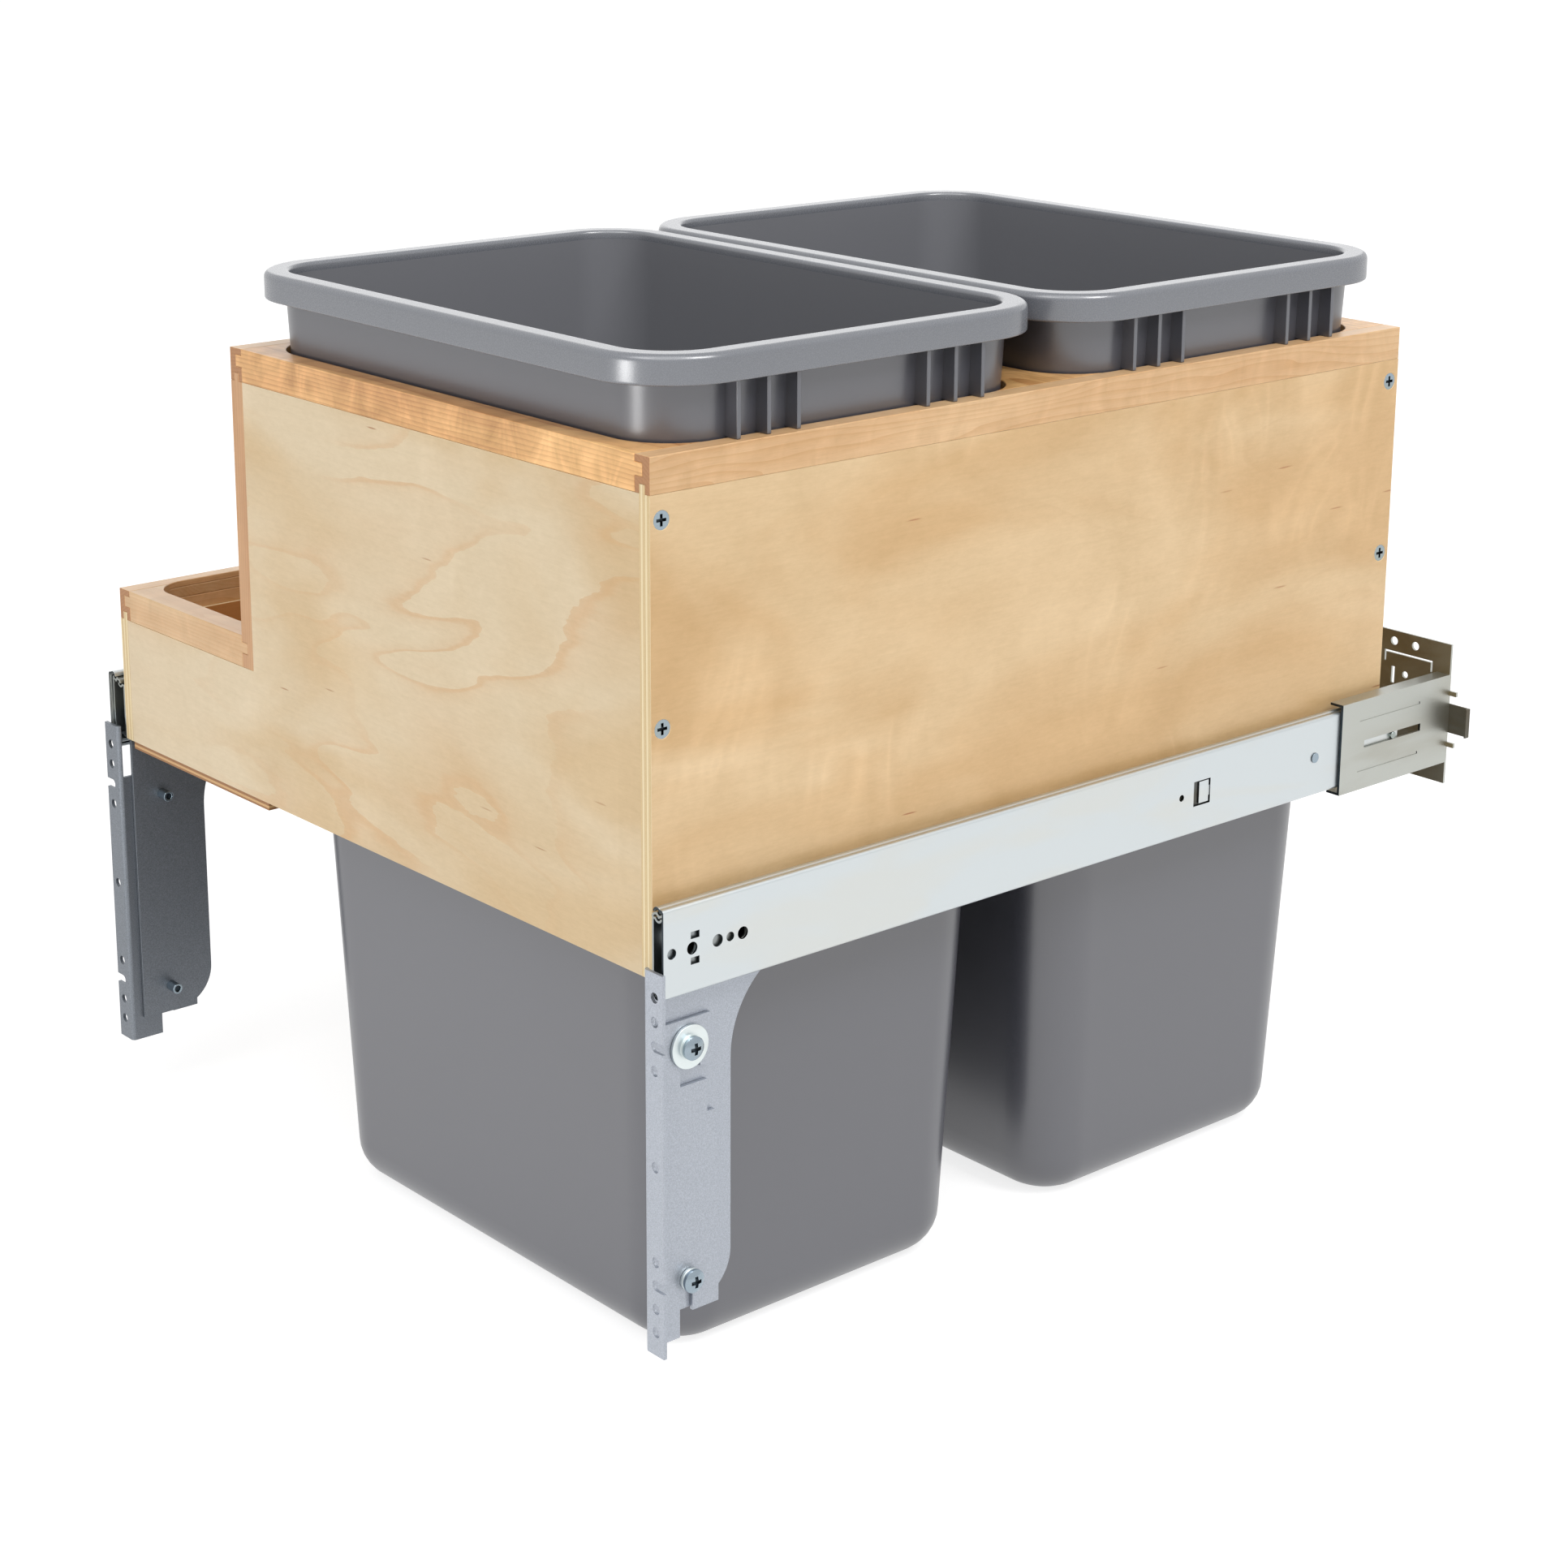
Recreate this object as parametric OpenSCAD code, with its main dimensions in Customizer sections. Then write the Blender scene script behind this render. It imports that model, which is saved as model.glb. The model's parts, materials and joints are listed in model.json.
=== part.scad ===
// Pull-out waste unit: a stepped wooden box on two full-extension slides, with two
// lift-out bins, a low side compartment and drop-on door brackets.
// X runs to the right, Y to the rear, Z up. The origin is the middle of the whole
// unit's footprint, at the height of the bins' undersides.

/* [Bins] */
// Width of a bin over its rim, across the unit
rim_w = 370; // [330:1:400]
// Depth of a bin over its rim, front to rear
rim_d = 271; // [240:1:300]
// Height of a bin
bin_h = 534; // [480:1:600]
// Corner radius of the rim in plan
rim_r = 45; // [38:1:60]
// Distance from the bin's body to the outside of the rim
rim_overhang = 11.5; // [9:0.25:14]
// Height of the skirt that hangs from the rim
skirt_h = 15; // [10:0.5:22]
// Thickness of the skirt and of the rim's flat top
skirt_t = 3; // [2:0.1:4]
// Rounding of the rim's outer top edge
rim_edge_r = 3.5; // [2:0.25:5]
// Wall thickness of a bin
bin_wall = 2.8; // [2:0.1:4]
// How far each long or short wall leans in from the rim to the floor
bin_taper = 18.5; // [8:0.5:26]
// Rounding of the edge round the bin's floor
bin_foot_r = 24; // [12:1:28]
// Thickness of a stiffening rib under the rim
rib_t = 2.6; // [1.6:0.2:4]
// Distance from rib to rib in a group
rib_pitch = 19; // [12:0.5:24]
// Distance of the middle rib of a group from the middle of the bin
rib_group_offset = 62; // [48:1:68]
// Height of the rim's top above the wood that the ribs rest on
rim_stand = 44; // [34:1:60]
// Gap between the two rims
bin_gap = 4; // [2:0.5:12]

/* [Wooden box] */
// Width of the low compartment, from the outer face to the divider
compartment_w = 138; // [110:1:180]
// Height of the box
box_h = 259; // [220:1:300]
// Height of the box at the low compartment
low_h = 94; // [80:1:130]
// Thickness of the plywood panels and of the divider
panel_t = 11.5; // [10:0.25:14]
// Thickness of the solid-wood boards on top
board_t = 18.5; // [16:0.5:24]
// Thickness of the compartment's floor
floor_t = 5; // [3:0.5:10]
// Distance from the box's faces to the rims
rim_margin = 3; // [1:0.5:10]
// Gap between a bin's body and the edge of its cut-out
cutout_gap = 2; // [1:0.25:3.5]
// Wood left beside the compartment's cut-out, on its long sides
low_side_margin = 9.5; // [6:0.25:20]
// Wood left in front of and behind the compartment's cut-out
low_end_margin = 16; // [12:0.5:30]
// Corner radius of the compartment's cut-out
low_cutout_r = 20; // [8:1:40]

/* [Joinery] */
// Thickness of the tongue on the edge of a top board
tongue_t = 6.6; // [5:0.2:8]
// Length of that tongue
tongue_len = 5.8; // [4:0.2:8]
// Thickness of the tongue on the top edge of a plywood side
ply_tongue_t = 4.2; // [3:0.2:6]
// Height of that tongue
ply_tongue_h = 4.6; // [3:0.2:6]
// Glue line left round each tongue
glue_gap = 0.05; // [0.05:0.05:0.2]
// Depth of the rebate in a side that takes the front or rear panel
rebate = 3.5; // [2:0.25:5]
// Diameter of a box screw's head
box_screw_head_d = 9.6; // [7:0.1:11]
// Diameter of a box screw's shank
box_screw_d = 3.8; // [3:0.1:5]
// Length of a box screw
box_screw_len = 38; // [25:1:50]
// Distance from the box's front or rear face to the screws
box_screw_inset = 7; // [5:0.25:7.5]
// Distance between the two screws at each corner of the tall side
box_screw_pitch = 102; // [70:1:140]
// Distance from the top of the box to the upper screws
box_screw_drop = 31; // [26:1:50]

/* [Slides] */
// Room that a slide takes up beside the box
slide_t = 12.7; // [12.5:0.1:14.5]
// Height of a slide over its ball races
slide_h = 48; // [44:0.5:56]
// How far the slide runs on behind the box
slide_tail = 2.7; // [0:0.1:8]
// Thickness of the slides' steel
gauge = 1.2; // [1:0.05:1.25]
// Diameter of the slides' balls
ball_d = 3.5; // [3:0.1:3.6]
// Balls in each row
balls_per_row = 8; // [4:1:14]
// How far the slide's front end stands ahead of the box
slide_lead = 3.3; // [1:0.1:6]
// Height of the slide's middle above the box's bottom edge
slide_rise = 17; // [14:0.25:22]
// Length of the slide that stays engaged at full extension
slide_engaged = 28; // [20:1:60]
// Radius of the screw holes near the slide's front end
rail_hole_r = 3.2; // [2.2:0.1:3.8]
// Distance between the slide's two main screw holes
rail_hole_pitch = 32; // [28:1:40]

/* [Rear sockets] */
// Length of a rear socket along the slide
socket_len = 101; // [85:1:130]
// Room between a rear socket and the slide, above and below
socket_room = 2; // [0.5:0.25:5]
// Thickness of the sockets' steel
socket_gauge = 1.5; // [1.2:0.1:2]
// Space from the box's rear face to the cabinet's back
back_space = 49.7; // [40:0.1:70]
// Width of the plate that screws to the cabinet's back
foot_w = 60; // [50:1:80]
// Height of that plate
foot_h = 87; // [75:1:110]
// Distance between the two screw holes in that plate
foot_hole_pitch = 16; // [12:0.5:22]
// Radius of these screw holes
foot_hole_r = 2.6; // [2:0.1:3.4]

/* [Door brackets] */
// Thickness of the brackets' steel
bracket_gauge = 2; // [1.5:0.1:3]
// Height of the angle that carries the door
angle_h = 203.2; // [195:0.1:230]
// Width of the angle's front flange, over the fold
angle_flange_w = 15; // [13:0.1:20]
// Step of the holes in the front flange
door_hole_step = 12.7; // [10:0.1:13.4]
// Radius of the door screw holes
door_hole_r = 2.75; // [2:0.05:3.2]
// Height of the angle's top above the box's bottom edge
angle_rise = 8.2; // [0:0.1:14]
// Gap between the slide's front end and the back of the angle's flange
angle_front_gap = 0.9; // [0.5:0.1:3]
// Distance between the two clamping screws
clamp_pitch = 125.4; // [110:0.1:135]
// Depth of the fixed plate below the box, front to rear
plate_d = 48; // [44:0.5:60]
// Diameter of the clamping screws' threads
clamp_screw_d = 4; // [3:0.1:5]
// Diameter of the collar that the angle hangs on
collar_d = 7.4; // [6:0.1:7.6]
// Diameter of the big washer on that collar
washer_d = 23; // [18:0.5:28]
// How far the angle lifts before it comes off its screws
angle_lift = 16.5; // [14:0.1:16.8]

/* [Hidden] */
$fn = 64;
hull_fn = 40;
over = 1;

// Overall places
box_w = compartment_w + rim_w;
box_d = 2 * rim_d + bin_gap + 2 * rim_margin;
box_top = bin_h - rim_stand;
box_bottom = box_top - box_h;
low_top = box_bottom + low_h;
right_face = box_w / 2;
divider_left = -right_face + compartment_w;
divider_right = divider_left + panel_t;
angle_lead = slide_lead + angle_front_gap + bracket_gauge;
unit_front = -angle_lead;
clip_t = 1.2;
unit_rear = box_d + back_space + clip_t;
unit_middle = (unit_front + unit_rear) / 2;

// Bins
bin_x = right_face - rim_w / 2;
bin_front_y = rim_margin + rim_d / 2;
bin_rear_y = bin_front_y + rim_d + bin_gap;
body_w = rim_w - 2 * rim_overhang;
body_d = rim_d - 2 * rim_overhang;
body_r = rim_r - rim_overhang;
taper_at_wood = bin_taper * rim_stand / bin_h;
rim_lap = 6;
ledge = 0.3;
rib_clear = 0.8;

// Cut-outs
cutout_w = body_w - 2 * taper_at_wood + 2 * cutout_gap;
cutout_d = body_d - 2 * taper_at_wood + 2 * cutout_gap;
cutout_r = body_r + cutout_gap - taper_at_wood;

// Joinery
tongue_drop = (board_t - ply_tongue_h - tongue_t) / 2 + glue_gap;
ply_shoulder = (panel_t - ply_tongue_t) / 2;
plate_rise = 30;
low_screw_room = low_h - board_t - plate_rise;
low_screw_pitch = low_screw_room / 2;
low_screw_drop = board_t + low_screw_room / 4;
screw_point = 3;
slot_cut_share = 0.16;
cross_share = 0.62;

// Slide section, measured out from the box's face and up from the slide's middle
race_clear = 0.1;
race_r = ball_d / 2 + race_clear;
race_gap_up = 0.3;
race_gap_down = 0.5;
race_bulge = 0.8;
cage_t = 0.4;
cage_clear = 0.2;
rail_web = slide_t - gauge;
race1_u = rail_web - 2 * cage_clear - cage_t - gauge - race_r + cage_clear / 4;
race1_v = slide_h / 2 - race_r - gauge;
race_step = 2 * race_r + gauge;
race_lean_share = 0.61;
race_step_u = race_step * race_lean_share;
race_step_v = sqrt(pow(race_step, 2) - pow(race_step_u, 2));
race2_u = race1_u - race_step_u;
race2_v = race1_v - race_step_v;
corner_v = slide_h / 2 - race_bulge;
corner_r = 2;
bar_share = 0.9;
slide_z = box_bottom + slide_rise;
rail_front = -slide_lead;
slide_len = box_d + slide_lead + slide_tail;
slide_travel = slide_len - slide_engaged;
rail_rear = rail_front + slide_len;
member_setback = 1.6;
member_len = slide_len - 4 * member_setback;
cage_len = slide_len / 2 - 3 * gauge;
cage_front = rail_front + slide_travel / 4 + member_setback + gauge;
ball_pitch = cage_len / balls_per_row;
cage2_gap = 1.6;

// Holes in the cabinet member, from the box's front face
rail_hole_a = 14.5;
rail_hole_b = rail_hole_a + rail_hole_pitch;
rail_pilot = 1.8;
rail_pilot_r = 2.7;
rail_mid_pitch = 8;
rail_small_r = 2.4;
lance_l = 5.4;
lance_h = 3.6;
lance_rise = 6.6;
rivet_end = 75.7;
rivet_y = rail_rear - rivet_end;
window_lead = 104;
window_front = rivet_y - window_lead;
window_l = 13.6;
window_h = 14.4;
window_sink = 0.5;
window_gap = 0.9;
tab_shares = [0.36, 0.6, 0.2];
rear_hole_lead = 10;
rear_hole = window_front - rear_hole_lead;
rear_hole_r = 1.9;
rivet_r = 3;
rivet_t = 0.6;

// Rear sockets
socket_h = slide_h + 2 * socket_room + 2 * socket_gauge;
socket_rear = box_d + back_space;
socket_front = socket_rear - socket_len;
socket_play = 0.3;
socket_web = slide_t + socket_play;
socket_lip = 5;
foot_rise = 2.6;
foot_hole_drop = 6.5;
foot_hole_inset = 26.5;
slot_front = 21;
slot_l = 52.5;
slot_h = 4.6;
groove_l = 56;
groove_front = 16;
groove_v = 15.5;
groove_h = 1.6;
groove_t = 0.4;
prong_h = 2.8;
prong_l = 5.5;
prong_v = 16;
clip_reach = 14.5;
clip_h = 18;
clip_lap = 22;
clip_lip = 3.5;
guide_share = 0.52;
guide_y = slot_front + socket_front + slot_l * guide_share;
guide_r = 2.1;

// Door brackets, measured from the box's outer face and from its front face
angle_gap = 0.2;
angle_top = box_bottom + angle_rise;
angle_bottom = angle_top - angle_h;
fold_r = 2.6;
door_hole_share = 0.6;
door_hole_u = angle_flange_w * door_hole_share;
neck_clear = 4.7;
neck = slide_z - race2_v - race_r - gauge - angle_lift - neck_clear;
clamp_y = 20.5;
clamp_drop = 47;
clamp_top = angle_top - clamp_drop;
clamp_low = clamp_top - clamp_pitch;
plate_front = 1.5;
plate_arc_r = 53;
plate_corner_r = 24;
plate_toe = 17;
plate_low = clamp_low - plate_toe;
plate_high = box_bottom + plate_rise;
plate_head_l = 84;
pocket_clear = 0.2;
angle_slot_w = clamp_screw_d + 0.4 * gauge;
collar_clear = 0.25;
hang_front = 5.2;
hang_rear = 7.5;
hook_w = 6.5;
hook_drop = 12.6;
window_drop = 20.6;
angle_waist = 32.5;
angle_shoulder = 37.3;
angle_rear = 39.7;
angle_step_drop = 52.6;
angle_slope = 16;
angle_heel = 12.5;
angle_toe_d = 14.6;
angle_toe_h = 16;
washer_t = 1.6;
head_d = 12.4;
head_h = 3.5;
head_dome = 1.9;
head_cross_share = 0.5;
nut_d = 6.4;
nut_l = 8.5;
small_washer_d = 12;
spring_t = 1.2;

// Places a shape along Y from a section drawn in X and Z
module along_y(start, length) {
    translate([0, start + length, 0]) rotate([90, 0, 0]) linear_extrude(length) children();
}

// Draws its children on the right, or mirrored on the left
module on_side(left) {
    if (left) mirror([1, 0, 0]) children();
    else children();
}

// Moves the unit's own datum, the box's front face, to the part's origin
module in_unit() {
    translate([0, -unit_middle, 0]) children();
}

// A block from its lowest corner and its highest one
module block(low, high) {
    translate(low) cube(high - low);
}

// A flat rounded rectangle about the origin
module rounded_plate(w, d, r) {
    square([w - 2 * r, d], center = true);
    square([w, d - 2 * r], center = true);
    for (sx = [-1, 1], sy = [-1, 1]) translate([sx * (w / 2 - r), sy * (d / 2 - r)]) circle(r);
}

// A round bar along X, from the box's right face outwards
module bar_x(u0, u1, y, z, r) {
    translate([right_face + u0, y, z]) rotate([0, 90, 0]) cylinder(h = u1 - u0, r = r);
}

// The two bins' cut-outs, as tall cutting blocks
module bin_cutouts() {
    for (y = [bin_front_y, bin_rear_y])
        translate([bin_x, y, box_top - 2 * board_t])
            linear_extrude(3 * board_t) rounded_plate(cutout_w, cutout_d, cutout_r);
}

// The low compartment's cut-out, as a tall cutting block
module low_cutout() {
    w = compartment_w - 2 * low_side_margin;
    d = box_d - 2 * low_end_margin;
    translate([(divider_left - right_face) / 2, box_d / 2, low_top - 2 * board_t])
        linear_extrude(3 * board_t) rounded_plate(w, d, low_cutout_r);
}

// A top strip's section, with its outer face at X = 0 and its top at Z = 0
module strip_section() {
    difference() {
        translate([-panel_t, -board_t]) square([panel_t, board_t]);
        translate([-panel_t - over, -tongue_drop - tongue_t - glue_gap])
            square([tongue_len + glue_gap + over, tongue_t + 2 * glue_gap]);
        translate([-panel_t + ply_shoulder - glue_gap, -board_t - over])
            square([ply_tongue_t + 2 * glue_gap, ply_tongue_h + glue_gap + over]);
    }
}

// A plywood side's section below the strip, with its outer face at X = 0
module side_section(height) {
    translate([-panel_t, 0]) square([panel_t, height]);
    translate([-panel_t + ply_shoulder, height - over]) square([ply_tongue_t, ply_tongue_h + over]);
}

// A top board's section between two strips, with tongues on both edges
module board_section(w) {
    square([w, board_t]);
    translate([-tongue_len, board_t - tongue_drop - tongue_t])
        square([w + 2 * tongue_len, tongue_t]);
}

// Where the box screws stand: [distance from the front, height]
function screw_places(top, pitch) = [
    for (y = [box_screw_inset, box_d - box_screw_inset], k = [0, 1]) [y, top - k * pitch]
];
tall_screws = screw_places(box_top - box_screw_drop, box_screw_pitch);
low_screws = screw_places(low_top - low_screw_drop, low_screw_pitch);

// Countersinks and pilot holes of the box screws, cut from the right face inwards
module screw_cuts(places) {
    r = box_screw_head_d / 2;
    for (p = places) translate([right_face, p[0], p[1]]) rotate([0, -90, 0]) {
        translate([0, 0, -over]) cylinder(h = over + cage_clear, r = r + cage_clear);
        cylinder(h = r, r1 = r + cage_clear, r2 = cage_clear);
        cylinder(h = box_screw_len + cage_clear, r = box_screw_d / 2 + glue_gap);
    }
}

// A countersunk wood screw with a cross recess, pointing along +Z from its head
module wood_screw(head_d, d, length) {
    color("lightsteelblue") difference() {
        union() {
            cylinder(h = (head_d - d) / 2, r1 = head_d / 2, r2 = d / 2);
            cylinder(h = length - screw_point, r = d / 2);
            translate([0, 0, length - screw_point]) cylinder(h = screw_point, r1 = d / 2, r2 = 0);
        }
        for (a = [0, 90]) rotate(a)
            translate([-head_d * cross_share / 2, -head_d * slot_cut_share / 2, -over])
                cube([head_d * cross_share, head_d * slot_cut_share, over + head_d * slot_cut_share]);
    }
}

module box_screws(places) {
    for (p = places) translate([right_face - cage_clear, p[0], p[1]]) rotate([0, -90, 0])
        wood_screw(box_screw_head_d, box_screw_d, box_screw_len);
}

// Pocket that lets the fixed bracket plate into a side, flush with its face
module plate_pocket() {
    block(
        [right_face - bracket_gauge - glue_gap, plate_front - pocket_clear, box_bottom - over],
        [right_face + over, plate_front + plate_head_l + pocket_clear, plate_high + pocket_clear]
    );
}

// Holes in a side for the screws that hold the slide
slide_screw_shares = [0.42, 0.66, 0.93];
slide_screw_ys = concat([rail_hole_a, rail_hole_b], [for (share = slide_screw_shares) box_d * share]);
slide_screw_len = 9;
slide_screw_d = 3.6;
slide_screw_head_d = 7;
slide_screw_head_h = 1.6;
module slide_screw_cuts() {
    for (y = slide_screw_ys)
        bar_x(-slide_screw_len - glue_gap, gauge + over, y, slide_z, slide_screw_d / 2 + glue_gap);
}

// Rebates in a right side for the ends of the front and rear panels
module rebates(top) {
    for (y0 = [-over, box_d - panel_t - glue_gap])
        block([right_face - panel_t - over, y0, box_bottom - over],
              [right_face - panel_t + rebate + glue_gap, y0 + panel_t + glue_gap + over,
               top - board_t + glue_gap]);
}

// Wooden box
module side_panel_right() {
    color("burlywood") in_unit() difference() {
        translate([right_face, 0, box_bottom])
            along_y(0, box_d) side_section(box_h - board_t);
        rebates(box_top);
        screw_cuts(tall_screws);
        plate_pocket();
        slide_screw_cuts();
    }
}

module side_panel_left() {
    color("burlywood") in_unit() on_side(true) difference() {
        translate([right_face, 0, box_bottom])
            along_y(0, box_d) side_section(low_h - board_t);
        rebates(low_top);
        screw_cuts(low_screws);
        plate_pocket();
        slide_screw_cuts();
    }
}

module top_strip_right() {
    color("sandybrown") in_unit() difference() {
        translate([right_face, 0, box_top]) along_y(0, box_d) strip_section();
        bin_cutouts();
    }
}

module top_strip_divider() {
    color("sandybrown") in_unit() difference() {
        translate([divider_left, 0, box_top]) mirror([1, 0, 0])
            along_y(0, box_d) strip_section();
        bin_cutouts();
    }
}

module top_strip_left() {
    color("sandybrown") in_unit() difference() {
        translate([-right_face, 0, low_top]) mirror([1, 0, 0])
            along_y(0, box_d) strip_section();
        low_cutout();
    }
}

// The divider stands on the front and rear panels' low parts at its ends
module divider_panel() {
    notch_top = low_top - board_t;
    color("peru") in_unit() difference() {
        translate([divider_left, 0, box_bottom]) mirror([1, 0, 0])
            along_y(0, box_d) side_section(box_h - board_t);
        for (y0 = [-over, box_d - panel_t - glue_gap])
            block([divider_left - over, y0, box_bottom - over],
                  [divider_right + over, y0 + panel_t + glue_gap + over, notch_top + glue_gap]);
        block([divider_left - over, -over, low_top - tongue_drop - tongue_t - glue_gap],
              [divider_left + tongue_len + glue_gap, box_d + over, low_top - tongue_drop + glue_gap]);
    }
}

// Outline of the stepped front and rear panels, in X and Z
module stepped_outline() {
    reach = right_face - panel_t + rebate;
    polygon([
        [-reach, box_bottom],
        [reach, box_bottom],
        [reach, box_top - board_t],
        [divider_right, box_top - board_t],
        [divider_right, low_top - board_t],
        [-reach, low_top - board_t]
    ]);
}

module stepped_panel(start) {
    color("wheat") in_unit() difference() {
        along_y(start, panel_t) stepped_outline();
        screw_cuts(tall_screws);
        on_side(true) screw_cuts(low_screws);
    }
}

module front_panel() { stepped_panel(0); }
module rear_panel() { stepped_panel(box_d - panel_t); }

floor_inset = 7;
floor_lap = 9;
module floor_panel() {
    color("wheat") in_unit()
        block([-right_face + floor_inset, over, box_bottom - floor_t],
              [divider_right + floor_lap, box_d - over, box_bottom]);
}

module top_board() {
    w = right_face - panel_t - divider_right;
    color("goldenrod") in_unit() difference() {
        translate([divider_right, 0, box_top - board_t]) along_y(0, box_d) board_section(w);
        bin_cutouts();
    }
}

module low_top_board() {
    w = compartment_w - panel_t;
    color("sandybrown") in_unit() difference() {
        translate([-right_face + panel_t, 0, low_top - board_t])
            along_y(0, box_d) board_section(w);
        low_cutout();
    }
}

module box_screws_right() { in_unit() box_screws(tall_screws); }
module box_screws_left() { in_unit() on_side(true) box_screws(low_screws); }

// Bins
// The bin's tapered body, drawn in by a wall's thickness for its inside
module bin_solid(inset, top) {
    r = body_r - inset;
    w = body_w - 2 * inset;
    d = body_d - 2 * inset;
    foot = bin_foot_r - inset;
    hull() {
        for (sx = [-1, 1], sy = [-1, 1]) {
            translate([sx * (w / 2 - r), sy * (d / 2 - r), top - over])
                cylinder(h = over, r = r, $fn = hull_fn);
            translate([sx * (w / 2 - bin_taper - r), sy * (d / 2 - bin_taper - r), inset + foot])
                rotate_extrude($fn = hull_fn) intersection() {
                    translate([r - foot, 0]) circle(foot, $fn = hull_fn);
                    translate([0, -foot]) square([r, foot]);
                }
        }
    }
}

// Section of the rim, with the skirt's outer face at X = 0 and the rim's top at Y = 0
module rim_section() {
    reach = rim_overhang + bin_wall - ledge;
    difference() {
        union() {
            translate([-reach, -rim_edge_r]) square([reach - rim_edge_r, rim_edge_r]);
            translate([-reach, -skirt_h]) square([reach, skirt_h - rim_edge_r]);
            translate([-rim_edge_r, -rim_edge_r]) circle(rim_edge_r);
        }
        translate([-rim_overhang, -skirt_h - over])
            square([rim_overhang - skirt_t, skirt_h - skirt_t + over]);
        translate([-reach - over, -skirt_h - over])
            square([reach - rim_overhang + over + ledge, skirt_h - rim_lap + over]);
    }
}

// The rim's section carried round a rounded rectangle
module bin_rim() {
    half_w = rim_w / 2 - rim_r;
    half_d = rim_d / 2 - rim_r;
    for (turn = [0, 1]) rotate(180 * turn) {
        translate([rim_w / 2, half_d, 0]) rotate([90, 0, 0]) linear_extrude(2 * half_d) rim_section();
        translate([-half_w, rim_d / 2, 0]) rotate([90, 0, 90]) linear_extrude(2 * half_w) rim_section();
        translate([half_w, half_d, 0]) rotate_extrude(angle = 90) translate([rim_r, 0]) rim_section();
        translate([-half_w, half_d, 0]) rotate(90)
            rotate_extrude(angle = 90) translate([rim_r, 0]) rim_section();
    }
}

module bin_ribs() {
    bite = (bin_wall + taper_at_wood) / 2;
    reach = rim_w / 2 - skirt_t - rib_clear;
    for (side = [-1, 1], group = [-1, 1], k = [-1, 0, 1])
        translate([
            side > 0 ? body_w / 2 - bite : -reach,
            group * rib_group_offset + k * rib_pitch - rib_t / 2,
            bin_h - rim_stand
        ]) cube([reach - body_w / 2 + bite, rib_t, rim_stand - skirt_t / 2]);
}

module bin(y) {
    color("gray") in_unit() translate([bin_x, y, 0]) {
        difference() {
            bin_solid(0, bin_h - skirt_t / 2);
            bin_solid(bin_wall, bin_h + over);
        }
        translate([0, 0, bin_h]) bin_rim();
        bin_ribs();
    }
}

module bin_front() { bin(bin_front_y); }
module bin_rear() { bin(bin_rear_y); }

// Slides, drawn in section: X out from the box's face, Y up from the slide's middle
// Half of a ball race, over the ball for up = 1 and under it for up = -1
module race(u, v, up) {
    outer = race_r + gauge;
    intersection() {
        translate([u, v]) difference() {
            circle(outer);
            circle(race_r);
        }
        translate([u - outer, up > 0 ? v + race_gap_up : v - outer])
            square([2 * outer, up > 0 ? outer : outer - race_gap_down]);
    }
}

// A quarter ring that rounds an outer corner
module corner_ring(u, v) {
    intersection() {
        translate([u - corner_r, v - corner_r]) difference() {
            circle(corner_r);
            circle(corner_r - gauge);
        }
        translate([u - corner_r, v - corner_r]) square(corner_r);
    }
}

module rail_section() {
    translate([rail_web, -corner_v + corner_r]) square([gauge, 2 * (corner_v - corner_r)]);
    for (m = [0, 1]) mirror([0, m]) {
        race(race1_u, race1_v, 1);
        corner_ring(slide_t, corner_v);
        translate([race1_u + bar_share * race_r, corner_v - gauge])
            square([slide_t - corner_r - race1_u - bar_share * race_r, gauge]);
    }
}

module middle_section() {
    top = race1_v - race_gap_down;
    translate([race1_u + race_r, -top]) square([gauge, 2 * top]);
    for (m = [0, 1]) mirror([0, m]) {
        race(race1_u, race1_v, -1);
        race(race2_u, race2_v, 1);
    }
}

module drawer_section() {
    top = race2_v - race_gap_down;
    translate([0, -top]) square([gauge, 2 * top]);
    for (m = [0, 1]) mirror([0, m]) {
        race(race2_u, race2_v, -1);
        translate([0, top - gauge]) square([race2_u - bar_share * race_r, gauge]);
    }
}

// A ball retainer: a thin channel with an arm through the middle of each ball row
module cage_section(u, v, web_u) {
    reach = race_r + gauge / 2;
    top = v + cage_t / 4;
    translate([web_u, -top]) square([cage_t, 2 * top]);
    for (m = [0, 1]) mirror([0, m])
        translate([u - reach, top - cage_t]) square([web_u - u + reach + cage_t, cage_t]);
}

// A slide piece on the right side, from its section
module slide_piece(start, length) {
    translate([right_face, 0, slide_z]) along_y(start, length) children();
}

function ball_ys() = [for (k = [0 : balls_per_row - 1]) cage_front + (k + 0.5) * ball_pitch];

module ball_row(u, v) {
    color("silver") in_unit() for (y = ball_ys(), s = [-1, 1])
        translate([right_face + u, y, slide_z + s * v]) sphere(d = ball_d, $fn = 24);
}

module cage(u, v, web_u) {
    color("gainsboro") in_unit() difference() {
        slide_piece(cage_front, cage_len) cage_section(u, v, web_u);
        for (y = ball_ys(), s = [-1, 1])
            translate([right_face + u, y, slide_z + s * v - over])
                cylinder(h = 2 * over, r = race_r);
    }
}

module rail_hole(y, r) {
    bar_x(rail_web - over, slide_t + over, y, slide_z, r);
}

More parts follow.
